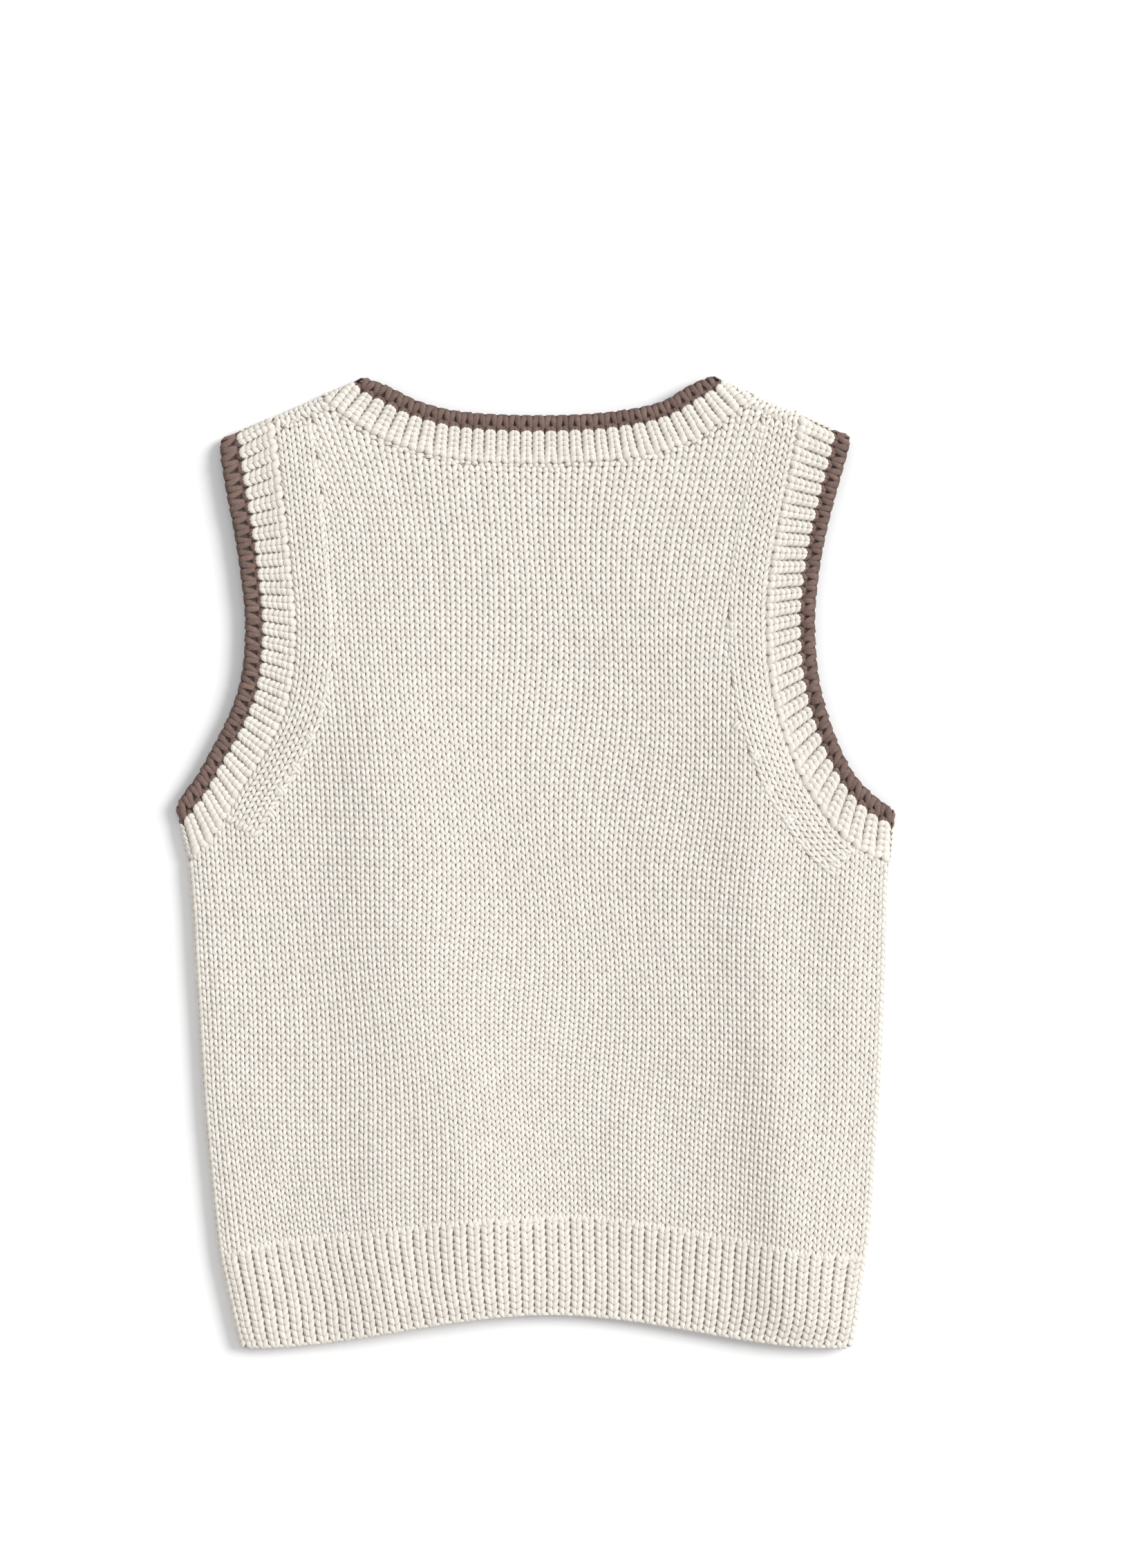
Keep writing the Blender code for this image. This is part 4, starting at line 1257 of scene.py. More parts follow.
@dataclass
class Knitting:
    """Lays stitches in rows, each a little unlike the next, as a hand or an old machine leaves them."""

    seed: int
    unevenness: float = 0.38  # 1 is a beginner's, and 0 a new machine's
    stitch_jitter: Run = (0.02, 0.035)  # of a whole stitch, across and along
    leg_jitter: Run = (0.02, 0.04, 0.07, 0.05)  # of a leg: across, along, in height and in radius
    tipping_jitter: Run = (0.015, 0.14, 0.08, 0.05)
    sizes: tuple[float, float] = (0.7, 1.35)  # least and most that a leg's thickness follows its wale's width
    level: float = 0.01  # a bow no higher than this is a tip

    def __post_init__(self) -> None:
        """Starts the random numbers."""
        self.rng = np.random.default_rng(self.seed)

    def stitches(
        self,
        mesh: YarnMesh,
        surface: Surface,
        leg: Leg,
        places: tuple[Array, Array],
        step: tuple[float, float] = (1.0, 1.0),
        wide: Array | float = 1.0,
        tall: Array | float = 1.0,
    ) -> None:
        """Lays both legs of each stitch.

        Args:
            mesh: Where the strands go.
            surface: What they are laid on.
            leg: The run of the right leg. The left one mirrors it.
            places: Middle of each stitch's wale, in the surface's a, and its foot, in the surface's b.
            step: Size of a wale in a, and of a course in b.
            wide: How wide each stitch is, against the others.
            tall: How tall each is.
        """
        wales, courses = places
        count = len(wales)
        wide, tall = (np.broadcast_to(fit, count)[:, None] for fit in (wide, tall))
        ends = [
            surface.point(wales + side * wide[:, 0] * step[0] / 2, courses + step[1] / 2, np.zeros(count))
            for side in (-1, 1)
        ]
        size = np.clip(np.linalg.norm(ends[1] - ends[0], axis=1) / leg.wale, *self.sizes)[:, None]
        jitter = self.rng.normal(size=(count, 2)) * self.stitch_jitter * self.unevenness
        for hand in (-1, 1):
            own = self.rng.normal(size=(count, 4)) * self.leg_jitter * self.unevenness
            a = np.array(leg.aside) * hand + jitter[:, :1] + own[:, :1]
            b = np.array(leg.along) + jitter[:, 1:] + own[:, 1:2]
            h = np.array(leg.height) + own[:, 2:3]
            radius = np.array(leg.radius) * (size + own[:, 3:4])
            a, b = wales[:, None] + a * wide * step[0], courses[:, None] + b * tall * step[1]
            mesh.lay(surface, a, b, h, radius, self.rng.random(count))

    def bows(
        self, mesh: YarnMesh, surface: Surface, bow: Bow, a: Array, b: Array | float, last: float = math.inf
    ) -> None:
        """Lays single strands.

        Args:
            mesh: Where they go.
            surface: What they are laid on.
            bow: Their run.
            a: First tip of each, across the surface.
            b: The same, along it.
            last: Where across the surface they end at the latest.
        """
        share = np.array(bow.run) / bow.run[-1]
        bend = np.minimum(1.0, bow.lift * share * (1 - share))
        none = np.zeros((len(a), 1))
        own = [self.rng.normal(size=none.shape) * size if size else none for size in bow.jitter]
        b = np.broadcast_to(b, len(a))[:, None] + bow.rise * share + bow.arch * bend + own[1]
        a = np.minimum(a[:, None] + np.array(bow.run) + own[0], last)
        h = bow.height[0] + bow.height[1] * bend + own[2]
        radius = np.where(bend > self.level, bow.radius[0] + bow.radius[1] * bend, 0.0)
        mesh.lay(surface, a, b, h, np.broadcast_to(radius, a.shape), self.rng.random(len(a)))

    def tipping(self, mesh: YarnMesh, ring: BandRing, run: TippingRun, hand: int, start: float) -> None:
        """Lays a round of a tipping, a strand at each groove. The rim's strands are all alike.

        Args:
            mesh: Where the strands go.
            ring: The band.
            run: Their run.
            hand: 1, or -1 for the mirrored strands.
            start: Where the cream ends, in mm from the seam.
        """
        grooves = np.arange(float(ring.total))[:, None]
        own = np.zeros((len(grooves), 4))
        if run is not TIPPING_RIM:
            own = self.rng.normal(size=own.shape) * self.tipping_jitter
        ends = np.where(np.arange(len(run.along)) < len(run.along) - run.at_rim, start, ring.width)
        a = grooves + hand * np.array(run.aside) + own[:, :1]
        b = ends + np.array(run.along) + own[:, 1:2]
        h = np.array(run.height) + own[:, 2:3]
        radius = np.array(run.radius) * (1 + own[:, 3:4])
        mesh.lay(ring, a, b, h, radius, self.rng.random(len(grooves)))


# ---------------------------------------------------------------- finishes


def linear(colour: str) -> tuple[float, float, float, float]:
    """The linear red, green, blue and alpha of an sRGB hex value such as "#E8E2D8"."""
    values = [int(colour[i : i + 2], 16) / 255 for i in (1, 3, 5)]
    return (*(v / 12.92 if v <= 0.04045 else ((v + 0.055) / 1.055) ** 2.4 for v in values), 1.0)


def add_node(
    tree: bpy.types.NodeTree, kind: str, output: str | int, settings: dict[str, object], **sockets: object
) -> bpy.types.NodeSocket:
    """Adds a node.

    Args:
        tree: Where it goes.
        kind: Its type, without the first words that all have.
        output: Which of its outputs is wanted.
        settings: Its own properties.
        sockets: What its sockets hold or are fed from, by name with _ for a blank, or by number after _.

    Returns:
        The output.
    """
    node = tree.nodes.new(f"ShaderNode{kind}")
    for key, value in settings.items():
        setattr(node, key, value)
    for key, value in sockets.items():
        socket = node.inputs[int(key[1:]) if key[0] == "_" else key.replace("_", " ")]
        if isinstance(value, bpy.types.NodeSocket):
            tree.links.new(value, socket)
        else:
            socket.default_value = value
    return node.outputs[output]


@dataclass(frozen=True)
class HeatherYarn:
    """Soft plied yarn of wool and cotton, spun from fibres dyed apart, and knitted.

    The eye sees a matt, slightly downy thread with faint streaks along it, flecks of paler and greyer fibre,
    and warm shade where one strand goes under the next. That shade is painted into the colour: the shade
    colour is mixed in where a strand lies low in the cloth, along its rims and a little all over.
    """

    name: str
    slot: str
    body: str
    pale: str
    grey: str
    # colour of the painted shade in the cloth's recesses, along strands' rims and a little all over
    shade: str
    tone_change: float = 0.06
    fleck: float = 0.5
    fleck_from: float = 0.5
    pale_full: float = 0.66
    grey_full: float = 0.68
    noises: Table = ((0.35, 0.6), (1.4, 0.7))  # size in mm and roughness of the fibres and of the flecks
    detail: float = 2.0
    ply_slope: float = 0.35  # how fast the plies turn round the thread, against how fast they run along it
    ply_scale: float = 0.8
    ply_share: float = 0.5  # of the plies in the bump, against the fibres
    bump: float = 0.45
    bump_mm: float = 0.25
    roughness: float = 0.88
    ior: float = 1.5
    specular: float = 0.3
    sheen: float = 0.15
    sheen_roughness: float = 0.5

    def build(self) -> bpy.types.Material:
        """Makes the material.

        Returns:
            The new material.
        """
        material = bpy.data.materials.new(self.name)
        material.use_nodes = True
        tree = material.node_tree
        place = add_node(tree, "TexCoord", "Object", {})
        strand, tone, painted_shade = (
            add_node(tree, "Attribute", output, {"attribute_name": name})
            for name, output in (("strand", "Vector"), ("tone", "Fac"), ("painted_shade", "Fac"))
        )
        fibre, flecks = (
            add_node(tree, "TexNoise", "Fac", {}, **noise, Detail=self.detail, Vector=place)
            for noise in ({"Scale": 1.0 / (mm * MM), "Roughness": rough} for mm, rough in self.noises)
        )
        others = add_node(tree, "SeparateColor", 1, {}, _0=flecks.node.outputs["Color"])
        colour = linear(self.body)
        for source, full, tint in ((flecks, self.pale_full, self.pale), (others, self.grey_full, self.grey)):
            ends = {"From_Min": self.fleck_from, "From_Max": full, "To_Max": self.fleck}
            share = add_node(tree, "MapRange", 0, {}, **ends, _0=source)
            colour = add_node(tree, "Mix", 2, {"data_type": "RGBA"}, _0=share, _6=colour, _7=linear(tint))
        ends = {"To_Min": 1.0 - self.tone_change, "To_Max": 1.0 + self.tone_change}
        bright = add_node(tree, "MapRange", 0, {}, **ends, _0=tone)
        colour = add_node(tree, "VectorMath", 0, {"operation": "SCALE"}, _0=colour, Scale=bright)
        # painted shade: the shade colour mixed in by each point's share of it
        colour = add_node(tree, "Mix", 2, {"data_type": "RGBA"}, _0=painted_shade, _6=colour, _7=linear(self.shade))
        lying = add_node(tree, "Mapping", 0, {}, Scale=(1.0, self.ply_slope, 1.0), Vector=strand)
        bands = {"wave_type": "BANDS", "bands_direction": "DIAGONAL"}
        waves = {"Scale": self.ply_scale, "Distortion": self.ply_scale}
        plies = add_node(tree, "TexWave", "Fac", bands, **waves, Vector=lying)
        added = {"operation": "MULTIPLY_ADD"}
        height = add_node(tree, "Math", 0, added, _0=plies, _1=self.ply_share, _2=fibre)
        bump = add_node(tree, "Bump", 0, {}, Strength=self.bump, Distance=self.bump_mm * MM, Height=height)
        shader = tree.nodes["Principled BSDF"]
        tree.links.new(colour, shader.inputs["Base Color"])
        tree.links.new(bump, shader.inputs["Normal"])
        shader.inputs["Roughness"].default_value = self.roughness
        shader.inputs["Metallic"].default_value = 0.0
        shader.inputs["IOR"].default_value = self.ior
        shader.inputs["Specular IOR Level"].default_value = self.specular
        shader.inputs["Sheen Weight"].default_value = self.sheen
        shader.inputs["Sheen Roughness"].default_value = self.sheen_roughness
        return material


# the last colour of each yarn is that of its painted shade
CREAM_YARN = HeatherYarn("cream heather yarn", "cream_yarn", "#E3DED5", "#EBE8E2", "#D7CEC9", "#BDB1A4")
BROWN_YARN = HeatherYarn(
    "brown heather yarn", "brown_yarn", "#755F57", "#8B756D", "#644F47", "#3D2F2A", tone_change=0.12
)


# ---------------------------------------------------------------- sub-assemblies


def settle(obj: bpy.types.Object, yarn: HeatherYarn, *nodes: str) -> bpy.types.Object:
    """Puts a piece on the garment's body, in place of its nodes, and reports it.

    Args:
        obj: The piece.
        yarn: Its finish; not used.
        nodes: The nodes that it replaces.

    Returns:
        The piece.
    """
    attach(obj, "root")
    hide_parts(*nodes)
    LOG.info("%s: %d faces", obj.name, len(obj.data.polygons))
    return obj


@dataclass
class SubAssembly:
    """What the panels and the bands have in common."""

    lie: Lie
    finishes: dict[HeatherYarn, bpy.types.Material]

    def made(self, piece: YarnMesh | Shell, node: str, yarn: HeatherYarn = CREAM_YARN) -> bpy.types.Object:
        """Makes a piece in place of a node."""
        return settle(piece.build(self.finishes[yarn]), yarn, node)


@dataclass
class BackPanel(SubAssembly):
    """The back: stocking stitch with fully fashioned armholes, and a ribbed hem knitted on."""

    hem: tuple[int, int] = (50, 14)  # its ribs and courses
    hem_first: float = 0.35  # course in which its stitches start
    hem_last: float = 0.72  # how far below the hem's top its last course starts
    # painted shade of the hem's strands, along their rims and all over
    hem_shades: tuple[float, float] = (0.12, 0.14)
    body_from: float = -0.3  # course in which the body starts
    body_courses: int = 126
    # the pieces of the body, each up to a course
    parts: tuple[tuple[str, float], ...] = (("low", 28), ("middle", 57), ("yoke", math.inf))
    edge_wales: int = 4
    edge_lift: float = 0.3  # how much higher the wales along the armholes lie, over the ends of the others
    tuck: float = -0.75  # how far those ends reach under them, in wales past half a wale
    under_start: float = 4.5  # and how far the body reaches under their first stitches, in mm
    low_share: float = 0.2  # of a stitch, which has to lie on the panel
    least_room: float = 0.35  # share of a course that a wale's last stitch needs
    least_tall: float = 0.4
    least_rise: float = 0.5  # of a course in plan, in mm
    samples: int = 200  # of an edge, when stitches are held against it
    cast_on_from: float = 0.04  # rib where the edge starts, and as far before the last rib's end it stops
    cast_on_low: float = 0.27  # course in which it lies
    # where each fashioning mark of the armholes lies in plan, in mm
    marks: Table = (
        (-97.8, 72.8), (-103.8, 57.4), (-110.2, 43), (-117.3, 33.1), (-121.4, 21.9),
        (93, 62.2), (101.9, 48.2), (107.4, 33.4), (117, 19),
    )  # fmt: skip
    # a mark's strand from end to end in mm: along it, height out of the face, and radius
    mark_run: Table = (
        (-3.6, -2.3, 0, 2.3, 3.6),
        (-1.7, -0.72, -0.42, -0.72, -1.7),
        (0, 0.8, 1.05, 0.8, 0),
    )
    mark_slope: float = 1.15
    mark_offset: float = 0.85  # of its two strands from its middle
    cells: tuple[int, int] = (90, 70)
    ground_depth: float = 1.55
    wall: float = 1.2
    seed: int = 11
    node: str = "back_panel"

    def __post_init__(self) -> None:
        """Lays out the panel."""
        plan = self.lie.plan
        clear = plan.fold_radius + plan.seam_gap
        self.panel = plan.panel(clear, clear + plan.shoulder_lip, plan.neck_seam)
        self.weave = Weave(plan, clear)
        self.knitting = Knitting(self.seed)
        self.body = BackFace(self.lie, self.weave, self.weave.wales, 1.0, self.weave.course, plan.hem_height)

    def fitting(self, face: Surface, places: tuple[Array, Array], course: float) -> tuple[Array, Array]:
        """Which stitches lie on the panel, and how tall they are. A wale's last one meets the top edge.

        Args:
            face: What they are laid on.
            places: Wale and foot of each.
            course: Height of a course.

        Returns:
            True for each stitch that is kept, and its height against the others.
        """
        wales, courses = places
        foot, low, head = (face.flat(wales, courses + share * course) for share in (0.0, self.low_share, 1.0))
        top = self.panel.on_edge("top", np.linspace(0.0, 1.0, self.samples))
        room = np.interp(foot[:, 0], *top.T) - foot[:, 1]
        room = room / np.maximum(head[:, 1] - foot[:, 1], self.least_rise)
        kept = inside(self.panel.border(), low) & (room > self.least_room)
        return kept, np.clip(room / STOCKING_LEG.along[-1], self.least_tall, 1.0)

    def knit_body(self) -> list[bpy.types.Object]:
        """Knits the body in pieces from the hem up, to under the wales along the armholes.

        Returns:
            The pieces.
        """
        wales, courses = grid_of(middles(self.weave.wales), np.arange(self.body_courses) + self.body_from)
        kept, tall = self.fitting(self.body, (wales, courses), 1.0)
        middle = self.body.flat(wales, courses + 0.5)
        left, right = (self.body.flat(wales + half, courses)[:, 0] for half in (-0.5, 0.5))
        for side in Side:
            edge = ArmholeEdge(self.lie, side)
            steps = np.linspace(edge.start, edge.end, self.samples)
            seam, bound = (edge.flat(np.full(len(steps), wale), steps) for wale in (0, self.edge_wales))
            past_start = (middle - seam[0]) @ unit(seam[1] - seam[0]) > self.under_start
            beside = past_start & (middle[:, 1] > bound[0, 1]) & (middle[:, 1] < bound[-1, 1])
            clear = -side.sign * (middle[:, 0] - np.interp(middle[:, 1], bound[:, 1], bound[:, 0]))
            kept &= ~(beside & (clear / (right - left) - 0.5 < self.tuck))
        pieces = []
        low = -math.inf
        for name, high in self.parts:
            mesh = YarnMesh(f"back_knit_{name}")
            here = kept & (courses >= low) & (courses < high)
            places = (wales[here], courses[here])
            self.knitting.stitches(mesh, self.body, STOCKING_LEG, places, tall=tall[here])
            if math.isinf(high):
                self.knit_edges(mesh)
                self.knit_marks(mesh)
            pieces.append(self.made(mesh, self.node))
            low = high
        return pieces

    def knit_edges(self, mesh: YarnMesh) -> None:
        """Knits the wales that run along the armholes.

        Args:
            mesh: Where the strands go.
        """
        course = self.weave.course
        for side in Side:
            edge = ArmholeEdge(self.lie, side, lift=self.edge_lift)
            places = grid_of(middles(self.edge_wales), np.arange(edge.start, edge.end, course))
            kept, tall = self.fitting(edge, places, course)
            places = tuple(values[kept] for values in places)
            self.knitting.stitches(mesh, edge, STOCKING_LEG, places, step=(1.0, course), tall=tall[kept])

    def knit_marks(self, mesh: YarnMesh) -> None:
        """Lays the fashioning marks, two long slanting strands each where a stitch was moved over.

        Args:
            mesh: Where the strands go.
        """
        along, height, radius = np.array(self.mark_run)
        for x, y in self.marks:
            slant = unit(np.array([-np.sign(x), -self.mark_slope]))
            for offset in (-self.mark_offset, self.mark_offset):
                a = x + along * slant[0] - offset * slant[1]
                b = y + along * slant[1] + offset * slant[0]
                tone = self.knitting.rng.random(1)
                mesh.lay(BackPlan(self.lie), a[None], b[None], height[None], radius[None], tone)

    def knit_hem(self) -> bpy.types.Object:
        """Knits the hem's ribs, and its cast-on edge, a soft cord of overlapping strands.

        Returns:
            The piece.
        """
        ribs, courses = self.hem
        face = BackFace(self.lie, self.weave, ribs, 0.0, 1.0, courses)
        mesh = YarnMesh("back_hem_knit", TOP_SECTION, *self.hem_shades)
        rows = np.arange(self.hem_first, courses - 1.0)
        for leg, feet in ((RIB_LEG, rows), (RIB_TOP_LEG, np.array([courses - self.hem_last]))):
            self.knitting.stitches(mesh, face, leg, grid_of(middles(ribs), feet))
        starts = np.arange(self.cast_on_from, ribs - CAST_ON.run[-1] / 2, 0.5)
        self.knitting.bows(mesh, face, CAST_ON, starts, self.cast_on_low, last=ribs - self.cast_on_from)
        return self.made(mesh, self.node)

    def build(self, rests_on: bpy.types.Object) -> None:
        """Builds the back, and the shell under its stitches.

        Args:
            rests_on: The front's ground, on which the back lies; not used.
        """
        knit = [*self.knit_body(), self.knit_hem()]
        v, u = np.meshgrid(*(np.linspace(0.0, 1.0, count) for count in self.cells), indexing="ij")
        plan = self.panel.at(u, v)
        faces = [
            self.lie.on_top(plan, np.full(u.shape, -depth))
            for depth in (self.ground_depth, self.ground_depth + self.wall)
        ]
        ground = self.made(Shell("back_ground", *faces, plan), self.node)


@dataclass
class FrontPanel(SubAssembly):
    """The front, underneath: its stitches face down, and it wraps round the sides and over the shoulders."""

    ribs: int = 50
    courses: int = 126
    cut: float = 120.0  # height over the hem at which its body is parted into two pieces
    rib_course: float = 3.2
    hem_from: float = 1.0  # where the hem's courses start, and as far from its top and from a seam they end
    wrap_wales: int = 2
    wrap_end: float = 0.8  # how far below the underarm the side's last course starts at the latest
    overlap: float = 0.9  # how far the side's wales reach over the back's first ones
    shoulder_wale: float = 4.4
    shoulder_courses: int = 4
    join_pitch: float = 2.1  # of the stitches along a shoulder's seam
    join_end: float = 1.5
    join_low: float = 1.7  # how far from the seam they start
    turn_steps: int = 8
    cells: tuple[int, int] = (89, 70)
    past_underarm: float = 1e-6  # share of the height, so that a row of cells starts at the armhole's foot
    ground_depth: float = 1.35
    wall: float = 1.2
    chart_step: float = 5.0  # between the ground's points on the flat cloth
    seeds: tuple[int, int] = (9, 23)  # of the rows and of the stitches
    node: str = "front_panel"

    def __post_init__(self) -> None:
        """Lays out the panel."""
        plan = self.lie.plan
        inset = plan.fold_radius
        self.panel = plan.panel(inset, inset, plan.front_neck_seam)
        self.weave = Weave(plan, inset, seed=self.seeds[0])
        self.knitting = Knitting(self.seeds[1])
        self.turn_length = math.pi * plan.fold_radius

    def knit_flat(self) -> list[bpy.types.Object]:
        """Knits the part that lies on the surface: the body in two pieces, and the hem's ribs.

        Returns:
            The pieces.
        """
        course, hem = self.weave.course, self.lie.plan.hem_height
        face, hem_face = (FrontFace(self.lie, self.weave, count) for count in (self.weave.wales, self.ribs))
        places = grid_of(middles(self.weave.wales), hem + course * np.arange(self.courses))
        kept = inside(self.panel.border(), face.flat(places[0], places[1] + course / 2))
        high = places[1] >= hem + self.cut
        rows = np.arange(self.hem_from, hem - self.rib_course / 2, self.rib_course)
        ribs = grid_of(middles(self.ribs), rows)
        pieces = []
        for name, surface, leg, (wales, courses), here, tall in (
            ("knit_low", face, HIDDEN_LEG, places, kept & ~high, course),
            ("knit_high", face, HIDDEN_LEG, places, kept & high, course),
            ("hem_knit", hem_face, HIDDEN_RIB_LEG, ribs, slice(None), self.rib_course),
        ):
            mesh = YarnMesh(f"front_{name}", HIDDEN_SECTION)
            self.knitting.stitches(mesh, surface, leg, (wales[here], courses[here]), step=(1.0, tall))
            pieces.append(self.made(mesh, self.node))
        return pieces

    def knit_turns(self) -> bpy.types.Object:
        """Knits the cloth round the side folds and over the shoulders, and its seams to the back.

        Returns:
            The piece.
        """
        mesh = YarnMesh("front_turn_knit")
        course, plan = self.weave.course, self.lie.plan
        wale = (self.turn_length + self.overlap) / self.wrap_wales
        length = self.turn_length + plan.shoulder_lip
        for side in Side:
            wrap, over = SideWrap(self.lie, side), ShoulderWrap(self.lie, side)
            rows = np.arange(plan.hem_height, wrap.guide.lengths[-1] - self.wrap_end, course)
            hem_rows = np.arange(self.hem_from, plan.hem_height - self.hem_from, self.rib_course)
            count = round(over.width / self.shoulder_wale)
            step_over = (over.width / count, length / self.shoulder_courses)
            rows_over = np.arange(0.0, length - self.hem_from, step_over[1])
            for surface, leg, wales, feet, step in (
                (wrap, STOCKING_LEG, self.wrap_wales, rows, (wale, course)),
                (wrap, RIB_LEG, self.wrap_wales, hem_rows, (wale, self.rib_course)),
                (over, STOCKING_LEG, count, rows_over, step_over),
            ):
                self.knitting.stitches(mesh, surface, leg, grid_of(middles(wales) * step[0], feet), step=step)
            starts = np.arange(0.0, over.width - self.join_end, self.join_pitch)
            self.knitting.bows(mesh, over, SHOULDER_JOIN, starts, length - self.join_low)
        return self.made(mesh, self.node)

    def ground_face(self, u: Array, v: Array, depth: float) -> Array:
        """One face of the shell under the stitches, from the flat part round its turns.

        Args:
            u: Shares across the panel.
            v: Shares up it.
            depth: How far below the face of the cloth it lies.

        Returns:
            Its grid of points. The turns are the rows above and the columns beside those of the flat part.
        """
        steps, plan = self.turn_steps, self.lie.plan
        vv, uu = np.meshgrid(v, u, indexing="ij")
        flat = self.panel.at(uu, vv)
        grid = np.zeros((len(v) + steps + 1, len(u) + 2 * steps, 3))
        grid[: len(v), steps:-steps] = np.concatenate([flat, np.full((*uu.shape, 1), depth)], axis=-1)
        turns = math.pi * (1 - (np.arange(steps) + 1) / steps)
        lip = plan.shoulder_lip - plan.seam_gap
        rows = self.turn_length + np.r_[-plan.fold_radius * turns, lip]
        for side, column in zip(Side, (0, -1)):
            edge = flat[:, column]
            normal = side.sign * left_normals(edge)
            for step, turn in enumerate(turns):
                where = steps - 1 - step if side is Side.LEFT else step - steps
                h = np.full(len(v), -depth)
                grid[: len(v), where] = self.lie.turned(edge, np.full(len(v), turn), normal, h)
            picked = np.nonzero((u if side is Side.LEFT else 1 - u) <= SHOULDER_SHARE + TINY)[0]
            over = ShoulderWrap(self.lie, side)
            a = (u[picked] - u[picked[0]]) / np.ptp(u[picked]) * over.width
            h = np.full(len(a), -depth)
            for row, b in enumerate(rows, len(v)):
                grid[row, picked + steps] = over.point(a, np.full(len(a), b), h)
        return grid

    def ground(self) -> bpy.types.Object:
        """The shell under the stitches, in one piece with its turns.

        Returns:
            The piece.
        """
        steps = self.turn_steps
        u = np.sort(np.r_[np.linspace(0.0, 1.0, self.cells[1]), SHOULDER_SHARE, 1.0 - SHOULDER_SHARE])
        v = np.sort(np.r_[np.linspace(0.0, 1.0, self.cells[0]), UNDERARM_SHARE + self.past_underarm])
        depths = (self.ground_depth, self.ground_depth + self.wall)
        outer, inner = (self.ground_face(u, v, depth) for depth in depths)
        rows, columns = outer.shape[:2]
        kept = np.zeros((rows - 1, columns - 1), bool)
        kept[: len(v) - 1, steps : steps + len(u) - 1] = True
        kept[: len(v) - 1][v[1:] <= UNDERARM_SHARE] = True
        on_shoulder = (u[1:] <= SHOULDER_SHARE + TINY) | (u[:-1] >= 1.0 - SHOULDER_SHARE - TINY)
        kept[len(v) - 1 :, steps : steps + len(u) - 1] = on_shoulder
        flat = np.stack(np.meshgrid(np.arange(columns), np.arange(rows)), axis=-1) * self.chart_step
        return self.made(Shell("front_ground", outer, inner, flat, kept=kept), self.node)

    def build(self) -> bpy.types.Object:
        """Builds the front.

        Returns:
            Its ground.
        """
        knit = [*self.knit_flat(), self.knit_turns()]
        ground = self.ground()
        return ground


